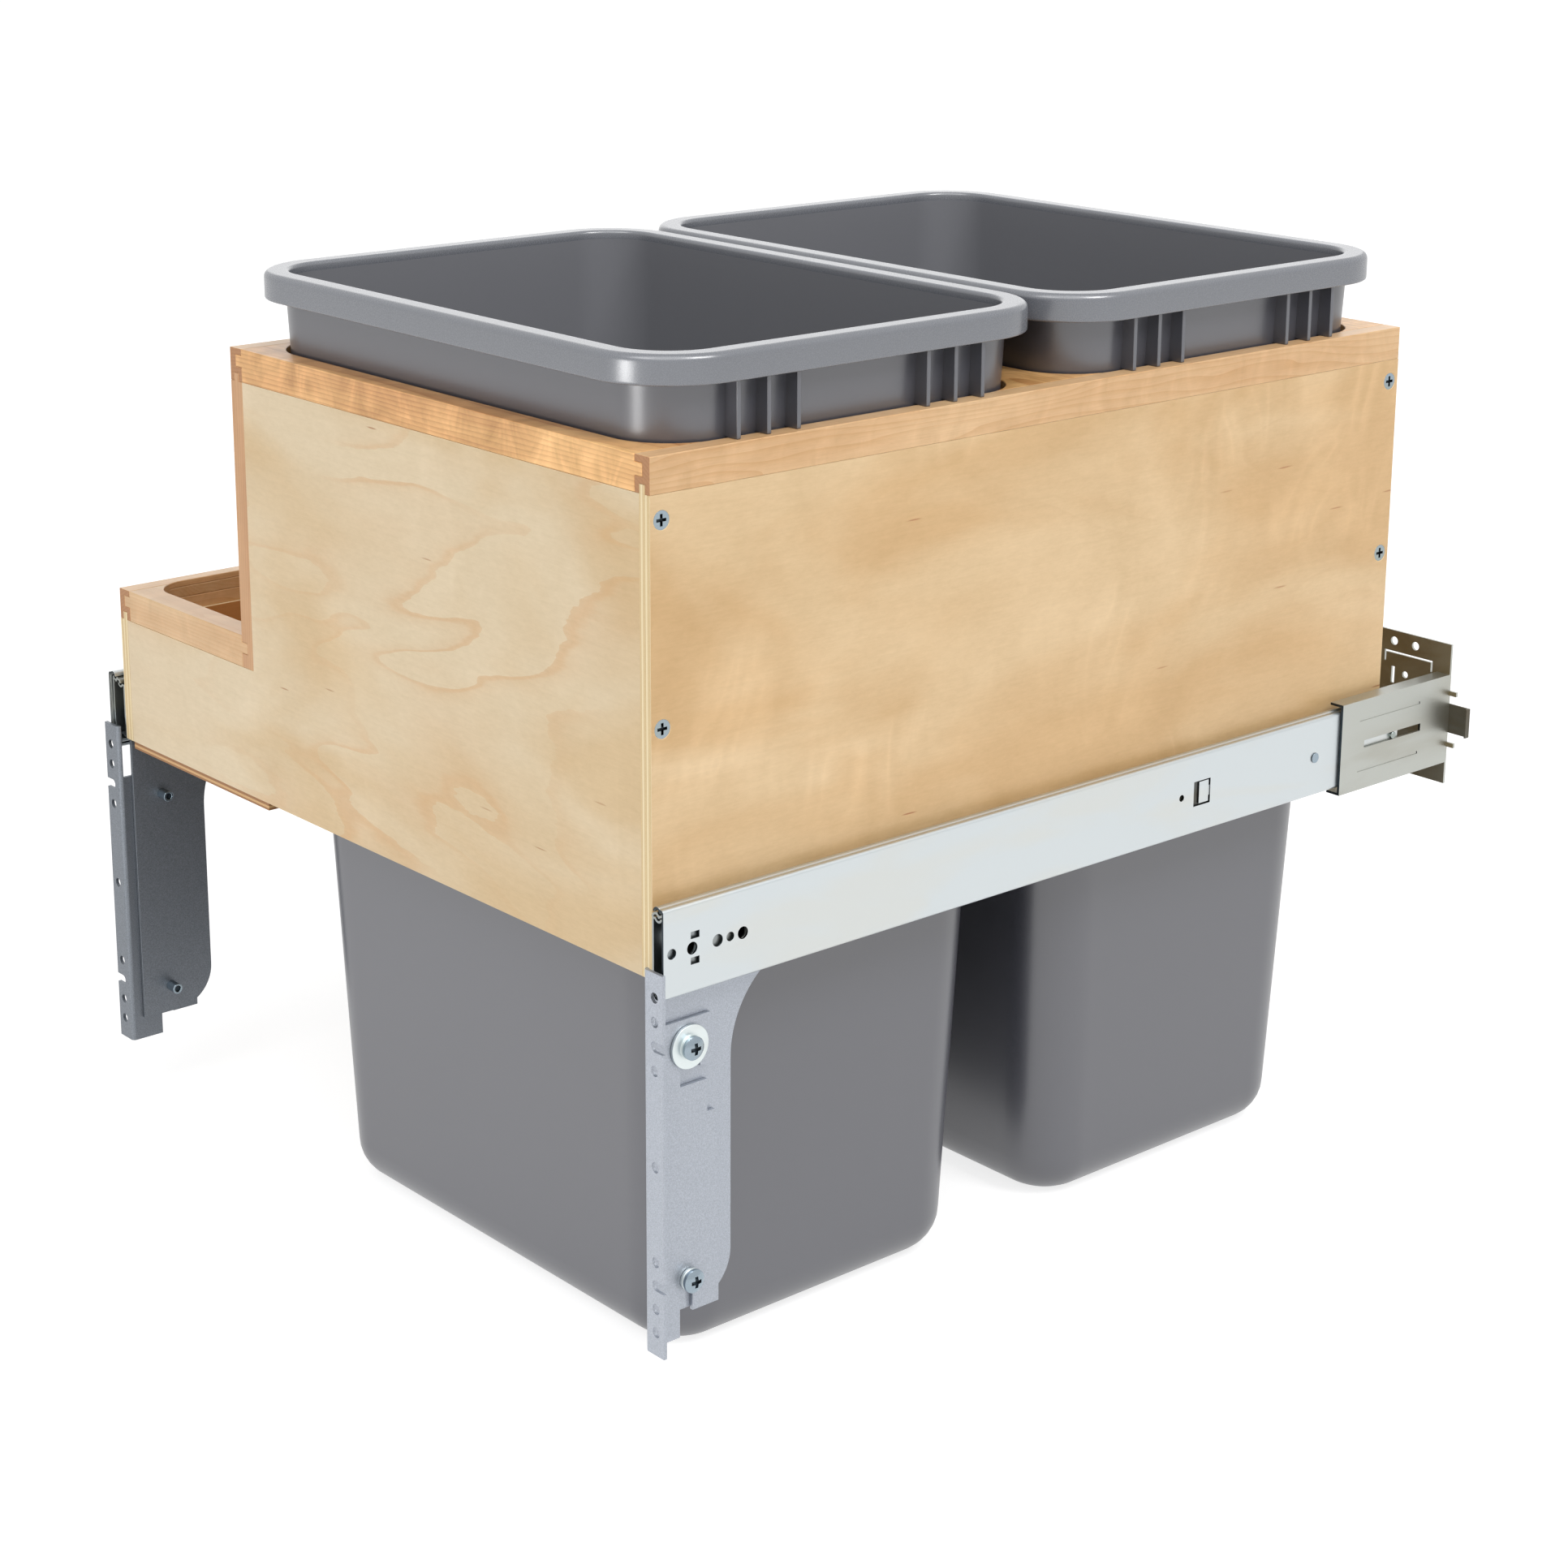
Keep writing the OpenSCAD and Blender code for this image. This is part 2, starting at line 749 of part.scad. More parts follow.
module rail() {
    color("gainsboro") in_unit() {
        difference() {
            slide_piece(rail_front, slide_len) rail_section();
            rail_hole(rail_pilot, rail_pilot_r);
            rail_hole(rail_hole_a, rail_hole_r);
            rail_hole(rail_hole_b, rail_hole_r);
            rail_hole(rail_hole_b - 2 * rail_mid_pitch, rail_hole_r);
            rail_hole(rail_hole_b - rail_mid_pitch, rail_small_r);
            rail_hole(rear_hole, rear_hole_r);
            rail_hole(guide_y, guide_r + glue_gap);
            for (s = [-1, 1])
                block([right_face + rail_web - over, rail_hole_a + rail_pilot - lance_l / 2,
                       slide_z + s * lance_rise - lance_h / 2],
                      [right_face + slide_t + over, rail_hole_a + rail_pilot + lance_l / 2,
                       slide_z + s * lance_rise + lance_h / 2]);
            block([right_face + rail_web - over, window_front, slide_z - window_h / 2],
                  [right_face + slide_t + over, window_front + window_l, slide_z + window_h / 2]);
        }
        // The lanced tab inside the window
        block([right_face + rail_web, window_front + window_l * tab_shares[0], slide_z - window_h / 2 + window_gap],
              [right_face + slide_t - window_sink, window_front + window_l - window_gap,
               slide_z + window_h / 2 - window_gap]);
        block([right_face + rail_web, window_front + window_l * tab_shares[1], slide_z - window_h * tab_shares[2]],
              [right_face + slide_t - window_sink, window_front + window_l + window_gap,
               slide_z + window_h * tab_shares[2]]);
        // The shallow head of the stop rivet
        bar_x(slide_t, slide_t + rivet_t, rivet_y, slide_z, rivet_r);
    }
}

module middle_member() {
    color("lightgray") in_unit() difference() {
        slide_piece(rail_front + member_setback, member_len) middle_section();
        for (y = slide_screw_ys)
            bar_x(race1_u + race_r - over, rail_web, y, slide_z, slide_screw_head_d / 2 + cage_clear);
    }
}

module drawer_member() {
    color("silver") in_unit() difference() {
        slide_piece(rail_front + 2 * member_setback, member_len) drawer_section();
        for (y = slide_screw_ys) bar_x(-over, gauge + over, y, slide_z, slide_screw_d / 2 + glue_gap);
    }
}

// Pan-head screws that hold the slide's drawer member to the box
module slide_screws() {
    color("lightsteelblue") in_unit() for (y = slide_screw_ys) difference() {
        union() {
            bar_x(-slide_screw_len, gauge + glue_gap, y, slide_z, slide_screw_d / 2);
            bar_x(gauge + glue_gap, gauge + slide_screw_head_h, y, slide_z, slide_screw_head_d / 2);
        }
        for (a = [0, 90]) translate([right_face + gauge + slide_screw_head_h, y, slide_z]) rotate([a, 0, 0])
            cube([slide_screw_head_h, slide_screw_head_d * slot_cut_share,
                  slide_screw_head_d * cross_share], center = true);
    }
}

outer_web_u = rail_web - cage_clear - cage_t;
inner_web_u = race2_u + race_r + gauge + cage2_gap / 2;

module rail_right() { rail(); }
module rail_left() { on_side(true) rail(); }
module middle_member_right() { middle_member(); }
module middle_member_left() { on_side(true) middle_member(); }
module drawer_member_right() { drawer_member(); }
module drawer_member_left() { on_side(true) drawer_member(); }
module outer_cage_right() { cage(race1_u, race1_v, outer_web_u); }
module outer_cage_left() { on_side(true) cage(race1_u, race1_v, outer_web_u); }
module outer_balls_right() { ball_row(race1_u, race1_v); }
module outer_balls_left() { on_side(true) ball_row(race1_u, race1_v); }
module inner_cage_right() { cage(race2_u, race2_v, inner_web_u); }
module inner_cage_left() { on_side(true) cage(race2_u, race2_v, inner_web_u); }
module inner_balls_right() { ball_row(race2_u, race2_v); }
module inner_balls_left() { on_side(true) ball_row(race2_u, race2_v); }
module slide_screws_right() { slide_screws(); }
module slide_screws_left() { on_side(true) slide_screws(); }

// Rear sockets
module socket_section() {
    half = socket_h / 2;
    outer = socket_web + socket_gauge;
    translate([socket_web, -half]) square([socket_gauge, socket_h]);
    for (s = [-1, 1]) translate([socket_lip, s > 0 ? half - socket_gauge : -half])
        square([outer - socket_lip, socket_gauge]);
}

module socket() {
    outer = right_face + socket_web + socket_gauge;
    foot_bottom = slide_z + foot_rise - foot_h / 2;
    foot_top = foot_bottom + foot_h;
    color("gainsboro") in_unit() {
        difference() {
            union() {
                slide_piece(socket_front, socket_len) socket_section();
                block([outer - foot_w, socket_rear - socket_gauge, foot_bottom],
                      [outer, socket_rear, foot_top]);
                for (s = [-1, 1])
                    block([outer - socket_gauge, socket_rear - socket_gauge,
                           slide_z + s * prong_v - prong_h / 2],
                          [outer + prong_l, socket_rear, slide_z + s * prong_v + prong_h / 2]);
            }
            // Slot that the guide rivet runs in
            block([outer - 2 * socket_gauge, socket_front + slot_front, slide_z - slot_h / 2],
                  [outer + over, socket_front + slot_front + slot_l, slide_z + slot_h / 2]);
            // Two shallow pressed grooves
            for (s = [-1, 1])
                block([outer - groove_t, socket_front + groove_front,
                       slide_z + s * groove_v - groove_h / 2],
                      [outer + over, socket_front + groove_front + groove_l,
                       slide_z + s * groove_v + groove_h / 2]);
            // Screw holes, a lanced tab and a keyhole in the rear plate
            for (k = [0, 1])
                translate([outer - foot_hole_inset - k * foot_hole_pitch,
                           socket_rear - 2 * socket_gauge, foot_top - foot_hole_drop])
                    rotate([-90, 0, 0]) cylinder(h = 3 * socket_gauge, r = foot_hole_r);
            foot_cuts(outer, foot_top);
        }
    }
}

// The U-shaped cut round the plate's lanced tab, and its two small slots
lance_drop = 13;
lance_w = 36;
lance_leg = 7;
lance_cut = 1.2;
key_drop = 26;
key_shares = [0.55, 0.84];
key_r_share = 0.8;
module foot_cuts(outer, foot_top) {
    y0 = socket_rear - 2 * socket_gauge;
    y1 = socket_rear + socket_gauge;
    right = outer - foot_hole_inset / 2;
    block([right - lance_w, y0, foot_top - lance_drop - lance_cut], [right, y1, foot_top - lance_drop]);
    block([right - lance_w, y0, foot_top - lance_drop - lance_leg],
          [right - lance_w + lance_cut, y1, foot_top - lance_drop]);
    block([right - lance_cut, y0, foot_top - lance_drop - lance_leg], [right, y1, foot_top - lance_drop]);
    translate([right - lance_w * key_shares[0], y0, foot_top - key_drop]) rotate([-90, 0, 0])
        cylinder(h = y1 - y0, r = foot_hole_r * key_r_share);
    block([right - lance_w * key_shares[1], y0, foot_top - key_drop - lance_leg],
          [right - lance_w * key_shares[1] + 2 * lance_cut, y1, foot_top - key_drop + lance_leg / 2]);
}

// A spring strip behind the socket's plate, with its outer end hooked forwards
module hook_clip() {
    face = right_face + socket_web + socket_gauge;
    color("dimgray") in_unit() {
        block([face - clip_lap, socket_rear, slide_z - clip_h / 2],
              [face + clip_reach, socket_rear + clip_t, slide_z + clip_h / 2]);
        block([face + clip_reach - clip_t, socket_rear + clip_t - clip_lip, slide_z - clip_h / 2],
              [face + clip_reach, socket_rear + clip_t, slide_z + clip_h / 2]);
    }
}

// The headless rivet that the socket's slot slides along
module guide_rivet() {
    color("silver") in_unit()
        bar_x(rail_web - gauge / 4, socket_web + socket_gauge, guide_y, slide_z, guide_r);
}

module socket_right() { socket(); }
module socket_left() { on_side(true) socket(); }
module hook_clip_right() { hook_clip(); }
module hook_clip_left() { on_side(true) hook_clip(); }
module guide_rivet_right() { guide_rivet(); }
module guide_rivet_left() { on_side(true) guide_rivet(); }

// Door brackets, drawn flat with X as the distance from the box's front and Y as the height
// A plate standing against the box's side, from its flat outline
module side_plate(u0, t) {
    translate([right_face + u0, 0, 0]) rotate([90, 0, 90]) linear_extrude(t) children();
}

module plate_outline() {
    arc_y = plate_front + plate_d + plate_arc_r;
    rear = plate_front + plate_d;
    difference() {
        union() {
            translate([plate_front, plate_low]) square([plate_d, plate_high - plate_low]);
            translate([plate_front, box_bottom - plate_arc_r])
                square([plate_head_l, plate_high - box_bottom + plate_arc_r]);
        }
        translate([arc_y, box_bottom - plate_arc_r]) circle(plate_arc_r);
        difference() {
            translate([rear - plate_corner_r, plate_low - over]) square(plate_corner_r + over);
            translate([rear - plate_corner_r, plate_low + plate_corner_r]) circle(plate_corner_r);
        }
    }
}

module bracket_plate() {
    color("slategray") in_unit() difference() {
        side_plate(-bracket_gauge, bracket_gauge) plate_outline();
        for (z = [clamp_top, clamp_low])
            bar_x(-bracket_gauge - over, over, clamp_y, z, clamp_screw_d / 2 + glue_gap);
        for (y = [rail_hole_a, rail_hole_b])
            bar_x(-bracket_gauge - over, over, y, slide_z, slide_screw_d / 2 + glue_gap);
    }
}

// Flat outline of the angle's side plate, with its hanging slots
module angle_outline() {
    hook_bottom = clamp_top - hook_drop;
    ledge_z = clamp_top - window_drop;
    slot_in = clamp_y - hang_front;
    slot_out = clamp_y + hang_rear;
    step_z = neck - angle_step_drop;
    heel_z = angle_bottom + angle_heel;
    toe_top = angle_bottom + angle_toe_h;
    difference() {
        polygon([
            [-angle_lead + fold_r, neck],
            [slot_out + hook_w, neck],
            [slot_out + hook_w, hook_bottom],
            [slot_out, hook_bottom],
            [slot_out, clamp_top + collar_d / 2 + collar_clear],
            [slot_in, clamp_top + collar_d / 2 + collar_clear],
            [slot_in, ledge_z],
            [angle_waist, ledge_z],
            [angle_waist, step_z],
            [angle_shoulder, step_z],
            [angle_rear, step_z - angle_slope],
            [angle_rear, heel_z],
            [clamp_y + angle_slot_w / 2, heel_z],
            [clamp_y + angle_slot_w / 2, toe_top],
            [clamp_y - angle_slot_w / 2, toe_top],
            [angle_toe_d, toe_top],
            [angle_toe_d, angle_bottom],
            [-angle_lead + fold_r, angle_bottom]
        ]);
        translate([clamp_y, clamp_low]) circle(angle_slot_w / 2);
        translate([clamp_y - angle_slot_w / 2, heel_z - over])
            square([angle_slot_w, clamp_low - heel_z + over]);
    }
}

// Section of the angle's fold and front flange, seen from above
module flange_section() {
    intersection() {
        translate([fold_r, fold_r]) difference() {
            circle(fold_r);
            circle(fold_r - bracket_gauge);
        }
        square(fold_r);
    }
    translate([fold_r, 0]) square([angle_flange_w - fold_r, bracket_gauge]);
}

module door_angle() {
    middle_z = angle_top - angle_h / 2;
    half_angle_depth = angle_flange_w + over;
    color("slategray") in_unit() difference() {
        union() {
            translate([right_face + angle_gap, -angle_lead, angle_bottom])
                linear_extrude(angle_h) flange_section();
            side_plate(angle_gap, bracket_gauge) angle_outline();
        }
        for (s = [-1, 1]) {
            for (steps = [0, 4, 6, 7]) door_hole(middle_z + s * steps * door_hole_step);
            door_hole(middle_z + s * 5 * door_hole_step);
            block([right_face + door_hole_u, -angle_lead - over,
                   middle_z + s * 5 * door_hole_step - door_hole_r],
                  [right_face + half_angle_depth, -angle_lead + bracket_gauge + over,
                   middle_z + s * 5 * door_hole_step + door_hole_r]);
        }
    }
}

module door_hole(z) {
    translate([right_face + door_hole_u, -angle_lead - over, z]) rotate([-90, 0, 0])
        cylinder(h = bracket_gauge + 2 * over, r = door_hole_r);
}

module bracket_plate_right() { bracket_plate(); }
module bracket_plate_left() { on_side(true) bracket_plate(); }
module door_angle_right() { door_angle(); }
module door_angle_left() { on_side(true) door_angle(); }

// Clamping hardware, the same on both sides
collar_end = angle_gap + bracket_gauge + angle_gap;
head_start = collar_end + washer_t + spring_t;
module on_both_sides() {
    for (left = [false, true]) on_side(left) in_unit() children();
}

module clamp_head(z) {
    dome_r = (pow(head_d / 2, 2) + pow(head_dome, 2)) / (2 * head_dome);
    difference() {
        union() {
            bar_x(-bracket_gauge - nut_l + gauge, head_start + head_dome / 2, clamp_y, z,
                  clamp_screw_d / 2);
            intersection() {
                bar_x(head_start, head_start + head_h, clamp_y, z, head_d / 2);
                translate([right_face + head_start + head_h - dome_r, clamp_y, z]) sphere(dome_r);
            }
        }
        for (a = [0, 90]) translate([right_face + head_start + head_h, clamp_y, z]) rotate([a, 0, 0])
            cube([head_h, head_d * slot_cut_share, head_d * head_cross_share], center = true);
    }
}

module clamp_screws() {
    color("lightsteelblue") on_both_sides() for (z = [clamp_top, clamp_low]) clamp_head(z);
}

module ring_x(u0, u1, z, d, bore_d) {
    difference() {
        bar_x(u0, u1, clamp_y, z, d / 2);
        bar_x(u0 - over, u1 + over, clamp_y, z, bore_d / 2);
    }
}

module clamp_collars() {
    bore = clamp_screw_d + 2 * glue_gap;
    color("silver") on_both_sides() ring_x(0, collar_end, clamp_top, collar_d, bore);
}

module clamp_washers() {
    bore = clamp_screw_d + 2 * glue_gap;
    color("gainsboro") on_both_sides() {
        ring_x(collar_end, collar_end + washer_t, clamp_top, washer_d, bore);
        ring_x(collar_end + washer_t, head_start, clamp_top, head_d, bore);
        ring_x(collar_end, collar_end + washer_t, clamp_low, small_washer_d, bore);
        ring_x(collar_end + washer_t, head_start, clamp_low, head_d - gauge, bore);
    }
}

module clamp_nuts() {
    bore = clamp_screw_d + 2 * glue_gap;
    color("silver") on_both_sides() for (z = [clamp_top, clamp_low])
        ring_x(-bracket_gauge - nut_l, -bracket_gauge, z, nut_d, bore);
}

side_panel_right();
side_panel_left();
divider_panel();
front_panel();
rear_panel();
floor_panel();
top_board();
low_top_board();
top_strip_right();
top_strip_divider();
top_strip_left();
box_screws_right();
box_screws_left();
bin_front();
bin_rear();
rail_right();
rail_left();
middle_member_right();
middle_member_left();
drawer_member_right();
drawer_member_left();
outer_cage_right();
outer_cage_left();
outer_balls_right();
outer_balls_left();
inner_cage_right();
inner_cage_left();
inner_balls_right();
inner_balls_left();
slide_screws_right();
slide_screws_left();
guide_rivet_right();
guide_rivet_left();
socket_right();
socket_left();
hook_clip_right();
hook_clip_left();
bracket_plate_right();
bracket_plate_left();
door_angle_right();
door_angle_left();
clamp_screws();
clamp_collars();
clamp_washers();
clamp_nuts();
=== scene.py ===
# %% [markdown]
# # Pull-out trash cabinet, dressed
# A wooden box rides on two ball slides inside a kitchen cabinet and carries two grey bins.
# The solids come from the CAD part, already in place and in metres. This notebook gives every
# piece its real finish: veneered plywood, solid wood edges, moulded plastic, zinc-plated
# slides and sprayed steel brackets. Each step says what the piece is and why it is made so.

# %% Load the frame
import json
import math
import bmesh
import bpy
import numpy as np
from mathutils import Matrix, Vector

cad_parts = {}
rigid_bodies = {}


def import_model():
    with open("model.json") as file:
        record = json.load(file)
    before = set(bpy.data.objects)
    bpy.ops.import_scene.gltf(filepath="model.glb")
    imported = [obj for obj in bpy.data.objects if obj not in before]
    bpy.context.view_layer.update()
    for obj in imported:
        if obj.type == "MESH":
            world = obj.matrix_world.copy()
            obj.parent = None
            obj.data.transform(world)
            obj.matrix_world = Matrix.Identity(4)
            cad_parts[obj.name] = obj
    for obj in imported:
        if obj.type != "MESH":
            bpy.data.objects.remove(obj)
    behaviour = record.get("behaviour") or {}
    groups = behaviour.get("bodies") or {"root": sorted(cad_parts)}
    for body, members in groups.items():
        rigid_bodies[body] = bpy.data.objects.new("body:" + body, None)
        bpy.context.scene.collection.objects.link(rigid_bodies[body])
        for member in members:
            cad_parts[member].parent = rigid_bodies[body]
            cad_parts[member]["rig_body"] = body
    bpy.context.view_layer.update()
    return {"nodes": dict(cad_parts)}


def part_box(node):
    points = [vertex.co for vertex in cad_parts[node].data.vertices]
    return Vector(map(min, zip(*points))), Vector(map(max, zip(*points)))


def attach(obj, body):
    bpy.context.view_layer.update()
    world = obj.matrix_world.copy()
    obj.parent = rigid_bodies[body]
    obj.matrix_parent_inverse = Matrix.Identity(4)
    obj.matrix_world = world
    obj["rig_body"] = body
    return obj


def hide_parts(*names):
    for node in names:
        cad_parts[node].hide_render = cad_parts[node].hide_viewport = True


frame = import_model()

nodes = frame["nodes"]

# %% [markdown]
# ## Camera
# The photograph looks down on the right front corner with a long lens. The camera's place is
# kept as an angle round the box, an angle above the floor and a distance, because these three
# are what a photographer sets. Its matrix is then three unit vectors and a place: right, up,
# back (the way it doesn't look) and where it stands. Lamps are put in place the same way.

# %% Linking and aiming
def linked(name, data):
    """A new object for a mesh, camera or lamp, linked to the scene."""
    piece = bpy.data.objects.new(name, data)
    bpy.context.scene.collection.objects.link(piece)
    return piece


def aim(piece, right, up, back, place):
    """Put a camera or lamp at a place: its matrix has these three axes and the place as columns."""
    pose = np.eye(4)
    pose[:3] = np.stack([right, up, back, place], 1)
    piece.matrix_world = pose.T.tolist()


print("ready to link and aim")

# %% Camera
FOCUS_DEPTH, FOCUS_HEIGHT = 0.30675, 0.300
turn, rise, roll = (math.radians(a) for a in (48.9671, 14.8937, 0.3226))
distance, aside, above = 1.85767, -0.001968, 0.018946
back = np.array([math.sin(turn) * math.cos(rise), -math.cos(turn) * math.cos(rise), math.sin(rise)])
level = np.array([math.cos(turn), math.sin(turn), 0.0])
upright = np.cross(back, level)
right = level * math.cos(roll) + upright * math.sin(roll)
up = upright * math.cos(roll) - level * math.sin(roll)
front_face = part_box("front_panel")[0].y
target = np.array([0.0, front_face + FOCUS_DEPTH, FOCUS_HEIGHT])
place = target + back * distance + right * aside + up * above
lens = bpy.data.cameras.new("camera")
lens.sensor_width = 36
lens.lens = 70.9687
lens.shift_y = -0.12
lens.clip_end = 100
camera = linked("camera", lens)
aim(camera, right, up, back, place)
bpy.context.scene.camera = camera
bpy.context.scene.view_settings.view_transform = "Standard"
print("camera at", place.round(4).tolist())

# %% [markdown]
# ## Node trees by hand
# Every finish here is a shader node tree. One helper adds a node and fills its inputs: a value
# is written on the socket and another node's output is linked to it. Colours are written as
# they look on a screen, and a second helper turns them into the linear light Blender mixes.

# %% Helpers for single nodes
def shade(red, green, blue):
    """Linear colour of an 8-bit screen colour: below 0.04 a straight line, above it a 2.4 power."""
    c = np.array([red, green, blue]) / 255
    linear = np.where(c < 0.04045, c / 12.92, ((c + 0.055) / 1.055) ** 2.4)
    return (*linear.tolist(), 1.0)


def socket_value(value):
    """What a socket holds: three numbers are a screen colour and turn linear, one stays as it is."""
    return shade(*value) if isinstance(value, tuple) else value


def add(tree, kind, inputs=None, **settings):
    """Add a node of a kind, set its settings, then link or write each of its inputs."""
    node = tree.nodes.new(kind)
    for name, value in settings.items():
        setattr(node, name, value)
    for name, value in (inputs or {}).items():
        socket = node.inputs[name]
        if isinstance(value, bpy.types.NodeSocket):
            tree.links.new(value, socket)
        else:
            socket.default_value = value
    return node


def math_node(tree, operation, *values, clamp=False):
    """One Math node, returned as its output."""
    node = add(tree, "ShaderNodeMath", dict(enumerate(values)), operation=operation, use_clamp=clamp)
    return node.outputs[0]


def vector_node(tree, operation, *values):
    """One Vector Math node, returned as its output: a length is a number, all else a vector."""
    node = add(tree, "ShaderNodeVectorMath", dict(enumerate(values)), operation=operation)
    return node.outputs["Value" if operation == "LENGTH" else "Vector"]


def swing(tree, value, share, middle=1.0):
    """The middle plus a share of how far the value, a noise, is from one half."""
    return math_node(tree, "MULTIPLY_ADD", math_node(tree, "SUBTRACT", value, 0.5), share, middle)


def step_node(tree, value, low, high):
    """Smooth step of a value, from 0 at low to 1 at high."""
    node = add(tree, "ShaderNodeMapRange", {0: value, 1: low, 2: high, 3: 0.0, 4: 1.0},
               interpolation_type="SMOOTHSTEP")
    return node.outputs[0]


def mix_colour(tree, share, first, second, blend="MIX"):
    """Mix of two colours by a share, as the blend says."""
    node = add(tree, "ShaderNodeMix", {0: share, 6: first, 7: second}, data_type="RGBA", blend_type=blend)
    return node.outputs[2]


def tinted(tree, colour, light, green=1.0, blue=1.0):
    """The colour times a light near 1, whose distance from 1 is stretched in green and in blue."""
    off = math_node(tree, "SUBTRACT", light, 1.0)
    channels = [math_node(tree, "MULTIPLY_ADD", off, gain, 1.0) for gain in (1.0, green, blue)]
    lit = add(tree, "ShaderNodeCombineColor", dict(enumerate(channels))).outputs[0]
    return mix_colour(tree, 1.0, colour, lit, "MULTIPLY")


def noise(tree, point, stretch, scale=1.0, detail=2.0, rough=0.5, warp=0.0):
    """Noise read at a point that is first scaled along each axis."""
    scaled = vector_node(tree, "MULTIPLY", point, stretch)
    node = add(tree, "ShaderNodeTexNoise", {"Vector": scaled, "Scale": scale, "Detail": detail,
                                            "Roughness": rough, "Distortion": warp})
    return node.outputs[0]


print("node helpers ready")


# %% Helpers for groups and materials
def group(name, **inputs):
    """An empty node group and its sockets: a point goes in with the named colours and numbers.

    A colour, height and roughness come out. An input that is three numbers is a screen colour.
    """
    tree = bpy.data.node_groups.new(name, "ShaderNodeTree")
    tree.interface.new_socket("Point", in_out="INPUT", socket_type="NodeSocketVector")
    for label, default in inputs.items():
        kind = "NodeSocketColor" if isinstance(default, tuple) else "NodeSocketFloat"
        socket = tree.interface.new_socket(label, in_out="INPUT", socket_type=kind)
        socket.default_value = socket_value(default)
    for label, kind in (("Color", "Color"), ("Roughness", "Float"), ("Height", "Float")):
        tree.interface.new_socket(label, in_out="OUTPUT", socket_type="NodeSocket" + kind)
    return tree, tree.nodes.new("NodeGroupInput").outputs, tree.nodes.new("NodeGroupOutput").inputs


def send(tree, gives, colour, roughness, height):
    """Link a group's three results to its outputs."""
    for label, result in (("Color", colour), ("Roughness", roughness), ("Height", height)):
        tree.links.new(result, gives[label])


def material(name, **flat):
    """A new material whose Principled shader has these flat values, and its tree and shader."""
    made = bpy.data.materials.new(name)
    made.use_nodes = True
    tree = made.node_tree
    shader = tree.nodes["Principled BSDF"]
    for label, value in flat.items():
        shader.inputs[label.replace("_", " ")].default_value = value
    return made, tree, shader


def place_group(tree, made, point, values):
    """Place a node group in a material's tree: it reads the point and has its own values."""
    node = tree.nodes.new("ShaderNodeGroup")
    node.node_tree = made
    tree.links.new(point, node.inputs["Point"])
    for label, value in values.items():
        node.inputs[label].default_value = socket_value(value)
    return node.outputs


def finish_shader(tree, shader, out, relief, strength):
    """Link a group's colour and roughness; its height goes through a Bump node of relief metres."""
    tree.links.new(out["Color"], shader.inputs["Base Color"])
    tree.links.new(out["Roughness"], shader.inputs["Roughness"])
    node = add(tree, "ShaderNodeBump", {"Height": out["Height"], "Distance": relief, "Strength": strength})
    tree.links.new(node.outputs[0], shader.inputs["Normal"])


print("group and material helpers ready")

# %% [markdown]
# ## Wood coordinates
# Wood has a direction. The groups below expect a point in millimetres whose X runs along the
# grain, Y across it and Z into the board. Each material turns the object's own coordinates
# that way, and moves them, so that two finishes aren't cut from the same spot of a log.

# %% Turning object coordinates along the grain
MILLIMETRES = (1000, 1000, 1000)


def wood_point(tree, axes, shift):
    """Object coordinates in millimetres plus a shift; axes names those along, across and into."""
    source = tree.nodes.new("ShaderNodeTexCoord").outputs["Object"]
    split = add(tree, "ShaderNodeSeparateXYZ", {0: source}).outputs
    joined = add(tree, "ShaderNodeCombineXYZ", {i: split[axis] for i, axis in enumerate(axes)}).outputs[0]
    return add(tree, "ShaderNodeMapping", {"Vector": joined, "Scale": MILLIMETRES,
                                           "Location": shift}).outputs[0]


print("a board's point comes from TexCoord, SeparateXYZ, CombineXYZ and Mapping")

# %% [markdown]
# ## Rotary-cut veneer
# A veneer peeled from the log shows its growth rings as wide, wandering contour lines, like
# the height lines of a map. So the group draws exactly that: a slow noise is the height, and
# a faint line lies where it passes each level, only in some places. Fine fibres, silky
# patches that run across the grain, short brown dashes and rare pin knots lie over it. The
# silky patches are partly an uneven tone and partly painted sheen: lighter colour for the
# shimmer of the veneer.

# %% Veneer group
veneer, given, gives = group(
    "rotary_veneer", Pale=(222, 200, 166), Dark=(206, 178, 140), Line=(190, 144, 98),
    Mark=(168, 108, 62), Figure=0.5, Silk=0.5, Rarity=0.93)
point = given["Point"]
drift = step_node(veneer, noise(veneer, point, (0.0045, 0.011, 0.01), detail=3.5, warp=0.7), 0.36, 0.64)
hill = noise(veneer, point, (0.0026, 0.0110, 0.004), detail=1.6, rough=0.42, warp=0.9)
jag = noise(veneer, point, (0.022, 0.10, 0.02), detail=3, rough=0.55)
height = swing(veneer, jag, 0.045, hill)
ring = math_node(veneer, "FRACT", math_node(veneer, "MULTIPLY", height, 7.0))
off_line = math_node(veneer, "ABSOLUTE", math_node(veneer, "SUBTRACT", ring, 0.93))
line = math_node(veneer, "MULTIPLY_ADD", step_node(veneer, off_line, 0.10, 0.0), 0.42,
                 math_node(veneer, "MULTIPLY", math_node(veneer, "POWER", ring, 2.6), 0.55))
patch = step_node(veneer, noise(veneer, point, (0.0042, 0.0065, 0.01), detail=2), 0.46, 0.62)
figure = math_node(veneer, "MULTIPLY", math_node(veneer, "MULTIPLY", line, patch), given["Figure"])
colour = mix_colour(veneer, drift, given["Pale"], given["Dark"])
colour = mix_colour(veneer, figure, colour, given["Line"])

